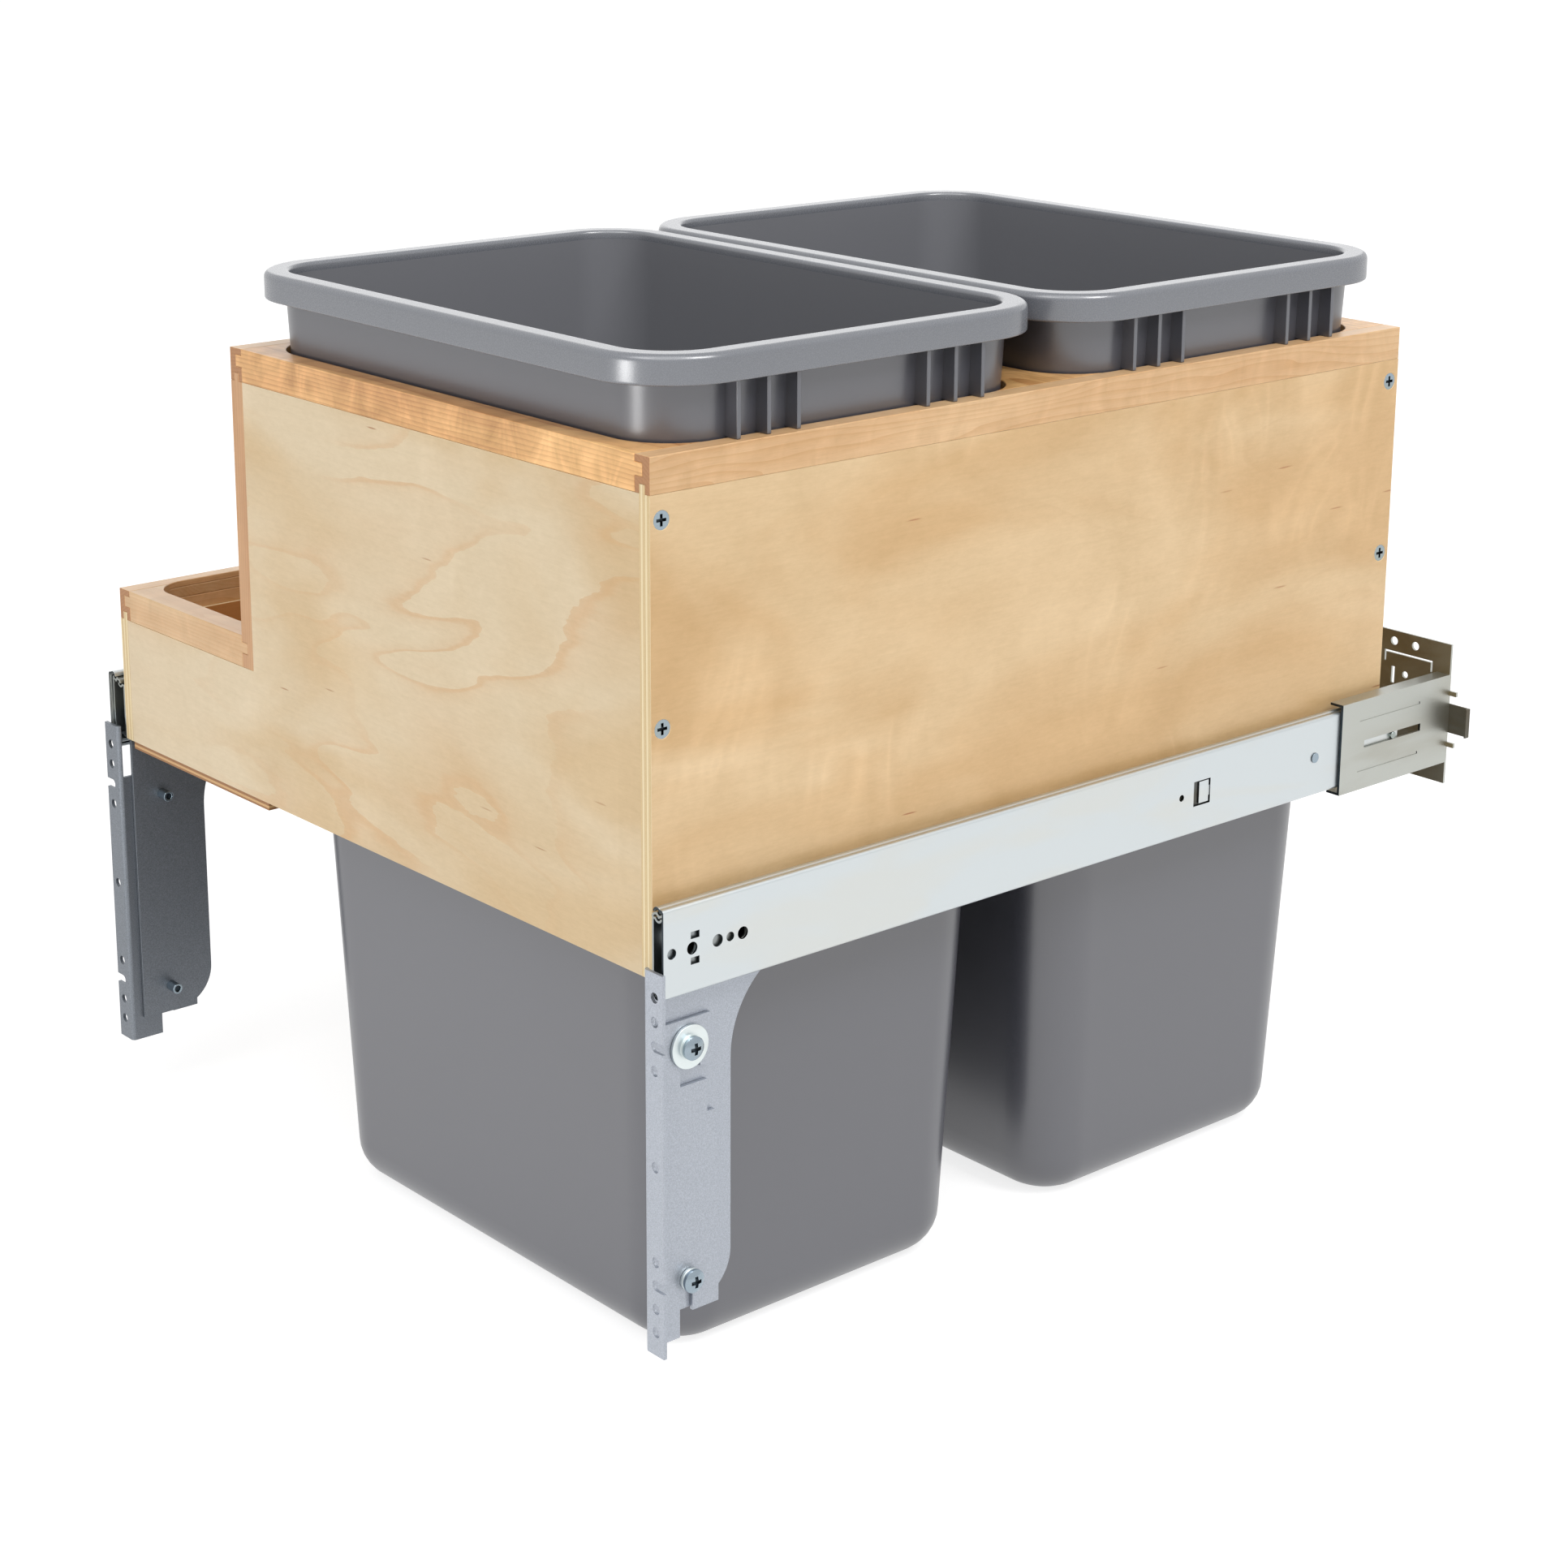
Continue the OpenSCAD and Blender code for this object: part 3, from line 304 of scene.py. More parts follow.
# %% Veneer light and dark
fibre = noise(veneer, point, (0.035, 0.85, 0.9), detail=3, rough=0.65)
mottle = noise(veneer, point, (0.16, 0.42, 0.4), detail=4, rough=0.7)
# Painted sheen: in some patches the crests of a wavy noise are lighter, for the veneer's shimmer; the broad
# veil is an uneven tone.
wave = noise(veneer, point, (0.016, 0.0065, 0.01), detail=2.4, rough=0.5, warp=1.6)
off_crest = math_node(veneer, "ABSOLUTE", swing(veneer, wave, 4.4, 0.0))
crest = math_node(veneer, "POWER", math_node(veneer, "SUBTRACT", 1.0, off_crest, clamp=True), 2.0)
veil = noise(veneer, point, (0.012, 0.010, 0.01), detail=3, rough=0.5, warp=1.0)
painted_sheen_patch = step_node(veneer, noise(veneer, point, (0.007, 0.009, 0.01), detail=2), 0.50, 0.68)
tone_and_painted_sheen = math_node(veneer, "MULTIPLY_ADD", math_node(veneer, "MULTIPLY", crest, painted_sheen_patch), 0.14,
                 swing(veneer, veil, 0.30, 0.0))
light = math_node(veneer, "MULTIPLY_ADD", tone_and_painted_sheen, given["Silk"], 1.0)
light = swing(veneer, fibre, 0.10, light)
light = swing(veneer, mottle, 0.18, light)
colour = tinted(veneer, colour, light, green=1.2, blue=1.7)

# %% Veneer dashes and pin knots
cells_at = vector_node(veneer, "MULTIPLY", point, (0.021, 0.075, 0.01))
sway = add(veneer, "ShaderNodeTexNoise", {"Vector": cells_at, "Scale": 3.0, "Detail": 1.0}).outputs["Color"]
cells = add(veneer, "ShaderNodeTexVoronoi", {"Vector": cells_at, "Scale": 1.0, "Randomness": 1.0}).outputs
offset = vector_node(veneer, "SUBTRACT", cells_at, cells["Position"])
offset = vector_node(veneer, "MULTIPLY_ADD", offset, (7.0, 22.0, 0.0), sway)
offset = vector_node(veneer, "SUBTRACT", offset, (0.5, 0.5, 0.5))
away = vector_node(veneer, "LENGTH", vector_node(veneer, "MULTIPLY", offset, (1, 1, 0)))
luck = add(veneer, "ShaderNodeSeparateColor", {0: cells["Color"]}).outputs
chosen = math_node(veneer, "GREATER_THAN", luck[0], given["Rarity"])
depth = math_node(veneer, "MULTIPLY_ADD", luck[1], 0.5, 0.4)
dash = math_node(veneer, "MULTIPLY", step_node(veneer, away, 1.0, 0.3), chosen)
dash = math_node(veneer, "MULTIPLY", dash, depth)
knots = add(veneer, "ShaderNodeTexVoronoi", {"Vector": point, "Scale": 0.011, "Randomness": 1.0}).outputs
knot_luck = add(veneer, "ShaderNodeSeparateColor", {0: knots["Color"]}).outputs
knot = math_node(veneer, "MULTIPLY", step_node(veneer, knots["Distance"], 0.018, 0.007),
                 math_node(veneer, "GREATER_THAN", knot_luck[0], 0.72))
marks = math_node(veneer, "MAXIMUM", dash, math_node(veneer, "MULTIPLY", knot, 0.8), clamp=True)
colour = mix_colour(veneer, marks, colour, given["Mark"])
send(veneer, gives, colour, math_node(veneer, "MULTIPLY_ADD", fibre, 0.12, 0.36),
     math_node(veneer, "MULTIPLY_ADD", marks, -0.6, fibre))
print("veneer group:", len(veneer.nodes), "nodes")

# %% [markdown]
# ## Solid wood
# The edge strips, the top boards and the divider's edge are solid hardwood. Sawn wood cuts
# through many narrow rings, so its lines are fine, long and close, with silky curl across
# them. The rings are the distance from the log's heart, far outside the board, bent by noise.

# %% Solid wood group
def distance_to_heart(tree, point, heart_y, heart_z):
    """Distance in millimetres from the log's heart line, which runs along X below the board."""
    flat = vector_node(tree, "MULTIPLY", point, (0.0, 1.0, 1.0))
    return vector_node(tree, "LENGTH", vector_node(tree, "ADD", flat, (0.0, heart_y, heart_z)))


timber, given, gives = group("sawn_timber", Pale=(236, 202, 156), Dark=(206, 156, 100), Rings=0.5,
                             Curl=0.5)
point = given["Point"]
sway = noise(timber, point, (0.004, 0.03, 0.03), detail=2, warp=0.4)
bow = add(timber, "ShaderNodeCombineXYZ", {1: math_node(timber, "MULTIPLY", sway, 22.0),
                                           2: math_node(timber, "MULTIPLY", sway, 14.0)}).outputs[0]
radius = distance_to_heart(timber, vector_node(timber, "ADD", point, bow), 95.0, 160.0)
ring = math_node(timber, "FRACT", math_node(timber, "MULTIPLY", radius, 0.42))
late = math_node(timber, "POWER", ring, 2.6)
broad = noise(timber, point, (0.006, 0.05, 0.05), detail=3)
fibre = noise(timber, point, (0.045, 1.5, 1.5), detail=3, rough=0.65)
pores = step_node(timber, noise(timber, point, (0.16, 2.2, 2.2), detail=2, rough=0.6), 0.60, 0.74)
sheer = add(timber, "ShaderNodeVectorRotate", {"Vector": point, "Angle": 0.3},
            rotation_type="Z_AXIS").outputs[0]
curl = noise(timber, sheer, (0.050, 0.03, 0.03), detail=3.5, rough=0.6, warp=1.0)
tone = math_node(timber, "MULTIPLY_ADD", late, math_node(timber, "MULTIPLY", given["Rings"], 0.8),
                 math_node(timber, "MULTIPLY", step_node(timber, broad, 0.3, 0.72), 0.55), clamp=True)
colour = mix_colour(timber, tone, given["Pale"], given["Dark"])
light = swing(timber, curl, math_node(timber, "MULTIPLY", given["Curl"], 0.6))
light = swing(timber, fibre, 0.22, light)
light = math_node(timber, "MULTIPLY_ADD", pores, -0.07, light)
colour = tinted(timber, colour, light, green=1.15, blue=1.5)
send(timber, gives, colour, math_node(timber, "MULTIPLY_ADD", fibre, 0.14, 0.36),
     math_node(timber, "MULTIPLY_ADD", pores, -0.8, fibre))
print("timber group:", len(timber.nodes), "nodes")

# %% [markdown]
# ## End grain
# Where a strip is cut across, the open ends of the fibres drink the varnish and turn a deep
# reddish brown. Tiny pale rays and dark pores break it up, and slow arcs show the rings.

# %% End grain group
ends, given, gives = group("end_grain", Pale=(196, 146, 98), Dark=(158, 108, 66))
point = given["Point"]
cells = noise(ends, point, (1.6, 1.6, 1.6), detail=3, rough=0.7)
rays = noise(ends, point, (0.4, 0.5, 3.4), detail=2, rough=0.6)
radius = distance_to_heart(ends, point, 30.0, 55.0)
arcs = math_node(ends, "POWER", math_node(ends, "FRACT", math_node(ends, "MULTIPLY", radius, 0.5)), 2.0)
tone = math_node(ends, "MULTIPLY_ADD", rays, 0.5, -0.35)
tone = math_node(ends, "MULTIPLY_ADD", cells, 0.7, tone)
tone = math_node(ends, "MULTIPLY_ADD", arcs, 0.35, tone, clamp=True)
send(ends, gives, mix_colour(ends, tone, given["Pale"], given["Dark"]),
     math_node(ends, "MULTIPLY_ADD", cells, 0.15, 0.5), cells)
print("end grain group:", len(ends.nodes), "nodes")

# %% [markdown]
# ## Plywood edges
# Cut plywood shows its layers: long-grain layers are pale and smooth, crossed layers are
# darker and rough, and a thin brown glue line lies between. The layer is a repeating count
# of the depth through the panel, so the group needs only that depth and the layers' pitch.

# %% Plywood edge group
layers, given, gives = group("ply_layers", Pitch=1.65, Long=(238, 220, 180), Cross=(222, 198, 152),
                             Glue=(190, 150, 92))
point = given["Point"]
depth = add(layers, "ShaderNodeSeparateXYZ", {0: point}).outputs[2]
wobble = noise(layers, point, (0.02, 0.02, 0.02), detail=1)
count = math_node(layers, "DIVIDE", math_node(layers, "MULTIPLY_ADD", wobble, 0.25, depth), given["Pitch"])
half_count = math_node(layers, "FRACT", math_node(layers, "MULTIPLY", count, 0.5))
odd = math_node(layers, "GREATER_THAN", half_count, 0.5)
off_middle = math_node(layers, "ABSOLUTE", swing(layers, math_node(layers, "FRACT", count), 1.0, 0.0))
seam = step_node(layers, off_middle, 0.40, 0.5)
rough_cut = noise(layers, point, (0.9, 0.9, 3.0), detail=3, rough=0.7)
torn = math_node(layers, "MULTIPLY", math_node(layers, "SUBTRACT", rough_cut, 0.35, clamp=True),
                 math_node(layers, "MULTIPLY_ADD", odd, 0.6, 0.15))
colour = mix_colour(layers, odd, given["Long"], given["Cross"])
colour = mix_colour(layers, torn, colour, given["Glue"])
colour = mix_colour(layers, math_node(layers, "MULTIPLY", seam, 0.8), colour, given["Glue"])
send(layers, gives, colour, math_node(layers, "MULTIPLY_ADD", rough_cut, 0.2, 0.5),
     math_node(layers, "SUBTRACT", rough_cut, seam))
print("plywood edge group:", len(layers.nodes), "nodes")

# %% [markdown]
# ## Wood materials
# Each board gets its own material from the groups. Its axes are named in the order along the
# grain, across it and into the board, the shift picks another part of the log, and the colours
# follow the photograph. Cut edges drink their varnish, so they keep less coat and more relief.

# %% Wood materials
FACE_COAT, CUT_COAT = 0.25, 0.1
FACE_RELIEF, PLY_RELIEF, END_RELIEF = 0.00006, 0.00012, 0.00008
WOOD_BUMP = 0.6


def wood(name, made, axes, shift, coat=FACE_COAT, relief=FACE_RELIEF, **values):
    """A varnished wood material: the group's colour, roughness and height under a thin clear coat."""
    result, tree, shader = material(name, Coat_Weight=coat, Coat_Roughness=0.32, IOR=1.5)
    out = place_group(tree, made, wood_point(tree, axes, shift), values)
    finish_shader(tree, shader, out, relief, WOOD_BUMP)
    return result


front_veneer = wood("front_veneer", veneer, "XZY", (310, 120, 40), Pale=(218, 198, 164),
                    Dark=(208, 180, 136), Line=(204, 154, 96), Mark=(168, 116, 72),
                    Figure=0.55, Silk=0.40, Rarity=0.965)
side_veneer = wood("side_veneer", veneer, "YZX", (700, 40, 900), Pale=(224, 193, 148),
                   Dark=(212, 174, 123), Line=(190, 144, 92), Mark=(170, 100, 54),
                   Figure=0.10, Silk=1.0, Rarity=0.958)
inner_veneer = wood("inner_veneer", veneer, "YZX", (150, 640, 300), Pale=(218, 166, 108),
                    Dark=(198, 140, 82), Figure=0.3, Silk=0.5, Rarity=0.95)
floor_veneer = wood("floor_veneer", veneer, "YXZ", (420, 260, 90), Figure=0.4, Silk=0.4, Rarity=0.95)
ply_edge_x = wood("ply_edge_x", layers, "YZX", (0, 0, 0.4), CUT_COAT, PLY_RELIEF)
ply_edge_y = wood("ply_edge_y", layers, "XZY", (0, 0, 0.7), CUT_COAT, PLY_RELIEF)
# The floor panel's cut edge: real ply layers in darker browns, painted shade for the edge under the front
# panel.
ply_edge_z_and_painted_shade = wood("ply_edge_z_and_painted_shade", layers, "XYZ", (0, 0, 0.3), CUT_COAT, PLY_RELIEF, Long=(212, 170, 118),
                  Cross=(164, 116, 72), Glue=(116, 76, 48))
top_wood = wood("top_wood", timber, "XYZ", (60, 20, 10), Pale=(240, 190, 126), Dark=(186, 123, 66),
                Rings=0.6, Curl=1.9)
low_wood = wood("low_wood", timber, "XYZ", (900, 310, 30), Pale=(222, 188, 144), Dark=(204, 158, 108),
                Rings=0.45, Curl=0.6)
strip_wood = wood("strip_wood", timber, "YZX", (230, 60, 400), Pale=(228, 190, 144),
                  Dark=(208, 160, 108), Rings=0.6, Curl=0.6)
divider_wood = wood("divider_wood", timber, "ZXY", (30, 500, 200), Pale=(206, 160, 114),
                    Dark=(182, 130, 84), Rings=0.7, Curl=0.3)
strip_ends = wood("strip_ends", ends, "YZX", (0, 0, 0), CUT_COAT, END_RELIEF, Pale=(186, 138, 96),
                  Dark=(150, 100, 62))
print("wood materials:", [m.name for m in bpy.data.materials if m.users == 0])

# %% [markdown]
# ## Moulded plastic
# The bins are injection moulded with a finely etched satin face. The colour hardly changes,
# so the look rests on roughness: a soft sheen with a very fine grain, slightly uneven where
# the plastic cooled, and long faint flow marks down the walls. One group serves three finishes:
# the dark walls; the rim, smoother and a little lighter, its lighter colour a painted sheen;
# and the paler inside, whose paler colour is painted light.

# %% Plastic group and materials
plastic, given, gives = group("moulded_plastic", Body=(122, 123, 128), Rough=0.38)
point = given["Point"]
etch = noise(plastic, point, (1.0, 1.0, 1.0), scale=2.2, detail=2, rough=0.6)
flow = noise(plastic, point, (0.02, 0.02, 0.002), detail=2)
cloud = noise(plastic, point, (0.006, 0.006, 0.006), detail=2)
light = swing(plastic, cloud, 0.05, swing(plastic, flow, 0.03))
send(plastic, gives, tinted(plastic, given["Body"], light),
     math_node(plastic, "MULTIPLY_ADD", etch, 0.10, given["Rough"]), etch)


PLAIN_BUMP = 0.5


def coated(name, made, relief, values, **flat):
    """A material that takes its colour, roughness and height from a group, in its own values."""
    result, tree, shader = material(name, **flat)
    source = tree.nodes.new("ShaderNodeTexCoord").outputs["Object"]
    point = add(tree, "ShaderNodeMapping", {"Vector": source, "Scale": MILLIMETRES}).outputs[0]
    finish_shader(tree, shader, place_group(tree, made, point, values), relief, PLAIN_BUMP)
    return result


ETCH_RELIEF = 0.00002
GLOSS = {"IOR": 1.62, "Specular_IOR_Level": 1.0}
bin_plastic = coated("bin_plastic", plastic, ETCH_RELIEF, {"Body": (77, 78, 86), "Rough": 0.25}, **GLOSS)
# The rim: smoother plastic, and a lighter body that is painted sheen.
bin_rim = coated("bin_rim", plastic, ETCH_RELIEF, {"Body": (104, 107, 114), "Rough": 0.22}, **GLOSS)
# Painted light: the inside is a paler copy of the same plastic.
bin_lining_painted_light = coated("bin_lining_painted_light", plastic, ETCH_RELIEF, {"Rough": 0.30}, IOR=1.5)
print("plastic group:", len(plastic.nodes), "nodes")

# %% [markdown]
# ## Zinc plate and painted steel
# The slides are bright zinc with a clear passivation that tints them faintly blue and cream.
# The brackets are sprayed with a grey metallic paint: fine bright flakes in a satin film.
# Both are groups, because the screws, cages and balls share the plating with other values.

# %% Metal groups
zinc, given, gives = group("zinc_plate", Tint=(201, 207, 209), Warm=(203, 206, 204), Rough=0.32)
point = given["Point"]
film = noise(zinc, point, (0.02, 0.008, 0.03), detail=3, warp=0.8)
spangle = noise(zinc, point, (0.7, 0.7, 0.7), detail=2, rough=0.7)
rolled = noise(zinc, point, (1.5, 0.01, 1.5), detail=2)
rough = math_node(zinc, "MULTIPLY_ADD", film, 0.08, given["Rough"])
send(zinc, gives, mix_colour(zinc, step_node(zinc, film, 0.42, 0.66), given["Tint"], given["Warm"]),
     swing(zinc, spangle, 0.10, rough), math_node(zinc, "MULTIPLY_ADD", rolled, 0.6, spangle))

paint, given, gives = group("sprayed_metallic", Body=(160, 165, 173), Flake=(187, 192, 201), Rough=0.42)
point = given["Point"]
flake = step_node(paint, noise(paint, point, (1.7, 1.7, 1.7), detail=3, rough=0.8), 0.34, 0.72)
peel = noise(paint, point, (0.8, 0.8, 0.8), detail=2)
send(paint, gives, mix_colour(paint, flake, given["Body"], given["Flake"]),
     math_node(paint, "MULTIPLY_ADD", peel, 0.1, given["Rough"]),
     math_node(paint, "MULTIPLY_ADD", flake, 0.3, peel))
print("zinc and paint groups:", len(zinc.nodes), "and", len(paint.nodes), "nodes")

# %% Metal materials
SHEET_RELIEF, SMALL_RELIEF, BALL_RELIEF, PAINT_RELIEF = 0.00003, 0.00002, 0.000005, 0.00004


def plated(name, relief, **values):
    """Zinc-plated steel: the zinc group in its own values on a bare metal."""
    return coated(name, zinc, relief, values, Metallic=1.0)


slide_zinc = plated("slide_zinc", SHEET_RELIEF)
# Zinc of the slide members, greyer than the rail's: in part painted shade for the deep gap they run in.
member_zinc_and_painted_shade = plated("member_zinc_and_painted_shade", SHEET_RELIEF, Tint=(150, 156, 158), Warm=(152, 154, 148))
bright_zinc = plated("bright_zinc", SMALL_RELIEF, Tint=(150, 164, 174), Warm=(154, 162, 158), Rough=0.2)
washer_zinc = plated("washer_zinc", SMALL_RELIEF, Tint=(216, 224, 224), Rough=0.36)
# Painted shade: hole walls, screw recesses and the socket's front edge get this dark zinc colour for the
# shade in them.
painted_shade_zinc = plated("painted_shade_zinc", SMALL_RELIEF, Tint=(58, 66, 72), Warm=(52, 56, 56))
ball_steel = plated("ball_steel", BALL_RELIEF, Tint=(226, 228, 230), Rough=0.06)
# Painted shade: the ball cages get a dark colour for the shade they lie in behind the rail.
cage_steel = plated("cage_steel", SMALL_RELIEF, Tint=(92, 94, 92), Warm=(88, 86, 78), Rough=0.34)
socket_steel = plated("socket_steel", SHEET_RELIEF, Tint=(182, 184, 178), Warm=(174, 174, 166), Rough=0.36)
socket_plate = plated("socket_plate", SHEET_RELIEF, Tint=(150, 143, 124), Warm=(136, 124, 98), Rough=0.42)
clip_steel = plated("clip_steel", SHEET_RELIEF, Tint=(104, 104, 98), Warm=(96, 90, 78), Rough=0.4)
bracket_paint = coated("bracket_paint", paint, PAINT_RELIEF, {}, Metallic=0.8)
# Painted shade: a darker copy of the bracket paint, for the left bracket.
left_paint_painted_shade = coated("left_paint_painted_shade", paint, PAINT_RELIEF,
                      {"Body": (112, 117, 123), "Flake": (140, 145, 152)}, Metallic=0.8)
print("metal materials ready")

# %% [markdown]
# ## Eased edges
# No real edge is perfectly sharp: a sanded board has a tiny round, and a stamped sheet a
# smaller one, and both catch the light. The CAD meshes may not be changed, so each is copied,
# its loose triangles are merged and flattened into whole faces, and a Bevel modifier rounds
# every edge that turns by more than 40 degrees. A Weighted Normal modifier then lets the big
# faces decide the shading, so that a board stays even right up to its rounds and screw holes.

# %% Eased copies of CAD pieces
MERGE, FLAT_TURN, SHARP_TURN = 2e-6, math.radians(0.4), math.radians(40)


def curved(face):
    """True for a facet of a round: it turns gently to a neighbour that isn't far smaller than itself."""
    gentle = [other.calc_area() for edge in face.edges if edge.is_manifold
              and FLAT_TURN < edge.calc_face_angle() < SHARP_TURN
              for other in edge.link_faces if other is not face]
    return bool(gentle) and face.calc_area() < 4 * max(gentle)


def eased(name, width, finishes, choose=None):
    """Copy a CAD piece with its edges rounded by a width, in its finishes and material slot.

    choose gives each face the number of its finish from its normal and its centre.
    """
    mesh = nodes[name].data.copy()
    shell = bmesh.new()
    shell.from_mesh(mesh)
    bmesh.ops.remove_doubles(shell, verts=shell.verts, dist=MERGE)
    bmesh.ops.dissolve_limit(shell, angle_limit=FLAT_TURN, verts=shell.verts, edges=shell.edges)
    for face in shell.faces:
        face.smooth = curved(face)
    shell.to_mesh(mesh)
    shell.free()
    mesh.materials.clear()
    for finish in finishes:
        mesh.materials.append(finish)
    normals = np.empty(len(mesh.polygons) * 3)
    centres = np.empty(len(mesh.polygons) * 3)
    mesh.polygons.foreach_get("normal", normals)
    mesh.polygons.foreach_get("center", centres)
    which = np.zeros(len(mesh.polygons), dtype=np.int32)
    if choose is not None:
        which = choose(normals.reshape(-1, 3), centres.reshape(-1, 3)).astype(np.int32)
    mesh.polygons.foreach_set("material_index", which)
    mesh.set_sharp_from_angle(angle=SHARP_TURN)
    piece = linked(name + "_dressed", mesh)
    rounding = piece.modifiers.new("eased edges", "BEVEL")
    rounding.width = width
    rounding.segments = 2
    rounding.limit_method = "ANGLE"
    rounding.angle_limit = SHARP_TURN
    even = piece.modifiers.new("even shading", "WEIGHTED_NORMAL")
    even.keep_sharp = True
    even.weight = 100
    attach(piece, nodes[name]["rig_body"])
    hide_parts(name)
    return piece


print("ready to ease", len(nodes), "pieces")

# %% [markdown]
# ## Which finish goes where
# A board shows veneer on its flat faces and layers on its cut edge, and a screw's recess gets
# painted shade, a darker colour than its head. The CAD marks none of this, so a face's normal
# and centre have to tell what it is. Each function below turns them, as whole arrays, into the
# number of a finish. A face looks along an axis where its normal has at least FACING of it, and
# stands as a wall where it has less than STEEP.

# %% Finish of a face by its place
FACING, STEEP = 0.7, 0.5


def by_axis(axis):
    """A face that looks along the given axis gets finish 0, every other face finish 1."""
    return lambda normals, centres: np.abs(normals[:, axis]) < FACING


def recess(name, reach=0.0022, sunk=0.001):
    """Walls and floor of a cross recess get painted shade, finish 1: they lie within reach of the screw's
    axis.
    """
    low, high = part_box(name)
    radius = (high.y - low.y) / 2

    def choose(normals, centres):
        off_y = centres[:, 1] - (low.y + high.y) / 2
        off_z = np.minimum(np.abs(centres[:, 2] - low.z - radius), np.abs(centres[:, 2] - high.z + radius))
        steep = np.abs(normals[:, 0]) < STEEP
        deep = (np.abs(normals[:, 0]) > 0.995) & (np.abs(centres[:, 0]) < high.x - sunk)
        return (np.hypot(off_y, off_z) < reach) & (steep | deep)

    return choose


def opening_walls(name, reach=0.0085, step=0.0002):
    """Rail: walls of the holes, window and rivet get finish 1, painted shade, the rivet's proud head finish
    2.
    """
    low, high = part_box(name)
    middle, proud = (low.z + high.z) / 2, max(high.x, -low.x) - step

    def choose(normals, centres):
        walls = (np.abs(centres[:, 2] - middle) < reach) & (np.abs(normals[:, 0]) < STEEP)
        return walls + 2 * ((np.abs(centres[:, 0]) > proud) & (np.abs(normals[:, 0]) > 0.9))

    return choose


def socket_faces(normals, centres):
    """Socket: the wall plate at its back gets finish 0, the sleeve 1 and the sleeve's front edge 2, painted
    shade.
    """
    ends = np.abs(normals[:, 1]) > FACING
    return np.where(ends, np.where(centres[:, 1] > centres[:, 1].mean(), 0, 2), 1)


def face_flush(normals, centres, sunk=0.0006):
    """A countersunk head's flat outer face gets finish 0, its recess and shank finish 1, painted shade."""
    depth = np.abs(centres[:, 0]).max() - np.abs(centres[:, 0])
    return (np.abs(normals[:, 0]) < 0.95) | (depth > sunk)


print("five ways to choose a face's finish")

# %% [markdown]
# ## The wooden box
# Panels show veneer on their two faces and layers on their edges. Strips show long grain
# along their length and end grain where they are cut, so a face's normal picks its finish.

# %% Dress the box
PLY_ROUND, BOARD_ROUND, STRIP_ROUND = 0.0003, 0.0005, 0.0004
for side, outward in (("right", 1), ("left", -1)):
    eased("side_panel_" + side, PLY_ROUND, [side_veneer, ply_edge_x, inner_veneer],
          lambda normals, centres: by_axis(0)(normals, centres) + 2 * (normals[:, 0] * outward < -FACING))
eased("divider_panel", PLY_ROUND, [inner_veneer, divider_wood], by_axis(0))
for panel in ("front_panel", "rear_panel"):
    eased(panel, PLY_ROUND, [front_veneer, ply_edge_y], by_axis(1))
eased("floor_panel", PLY_ROUND, [floor_veneer, ply_edge_z_and_painted_shade], by_axis(2))
eased("top_board", BOARD_ROUND, [top_wood])
eased("low_top_board", BOARD_ROUND, [low_wood])
for strip in ("right", "divider", "left"):
    eased("top_strip_" + strip, STRIP_ROUND, [strip_ends, strip_wood], by_axis(1))
print("box dressed")

# %% [markdown]
# ## Slides, sockets, brackets and screws
# Pressed steel keeps a small even radius on each edge. The walls of holes, slots and screw
# recesses and the socket's front edge get a dark zinc colour, the cages a dark one and, in part,
# the slide members a greyer one than the rail: painted shade, since in there they mirror each
# other and not the room. The left bracket's paint is a darker copy of the same paint, painted
# shade, as it looks in the photograph.

# %% Dress the metal
SHEET_ROUND, CAGE_ROUND, SOCKET_ROUND, BRACKET_ROUND = 0.0002, 0.00008, 0.00025, 0.0003
for side, spray in (("right", bracket_paint), ("left", left_paint_painted_shade)):
    rail = "rail_" + side
    eased(rail, SHEET_ROUND, [slide_zinc, painted_shade_zinc, bright_zinc], opening_walls(rail))
    eased("guide_rivet_" + side, SHEET_ROUND, [bright_zinc])
    for node in ("middle_member_", "drawer_member_"):
        eased(node + side, SHEET_ROUND, [member_zinc_and_painted_shade])
    for node in ("outer_cage_", "inner_cage_"):
        eased(node + side, CAGE_ROUND, [cage_steel])
    for node in ("outer_balls_", "inner_balls_"):
        nodes[node + side].data.materials.clear()
        nodes[node + side].data.materials.append(ball_steel)
    eased("slide_screws_" + side, SHEET_ROUND, [bright_zinc])
    eased("box_screws_" + side, SHEET_ROUND, [bright_zinc, painted_shade_zinc], face_flush)
    eased("socket_" + side, SOCKET_ROUND, [socket_plate, socket_steel, painted_shade_zinc],
          socket_faces)
    eased("hook_clip_" + side, SHEET_ROUND, [clip_steel])
    eased("bracket_plate_" + side, BRACKET_ROUND, [spray])
    eased("door_angle_" + side, BRACKET_ROUND, [spray])
eased("clamp_screws", SHEET_ROUND, [bright_zinc, painted_shade_zinc], recess("clamp_screws"))
for node in ("clamp_collars", "clamp_nuts"):
    eased(node, SHEET_ROUND, [bright_zinc])
eased("clamp_washers", SHEET_ROUND, [washer_zinc])
print("metal dressed")

# %% [markdown]
# ## The bins
# A bin is one continuous skin: up the inside, over the rolled rim, under its skirt, down the
# outside and across the bottom. That is one profile carried round a rounded rectangle, so
# the whole bin is a grid of two parameters. Extra rows and columns lie close to each bend,
# because smooth shading would otherwise smear the bend's light over the flat walls.

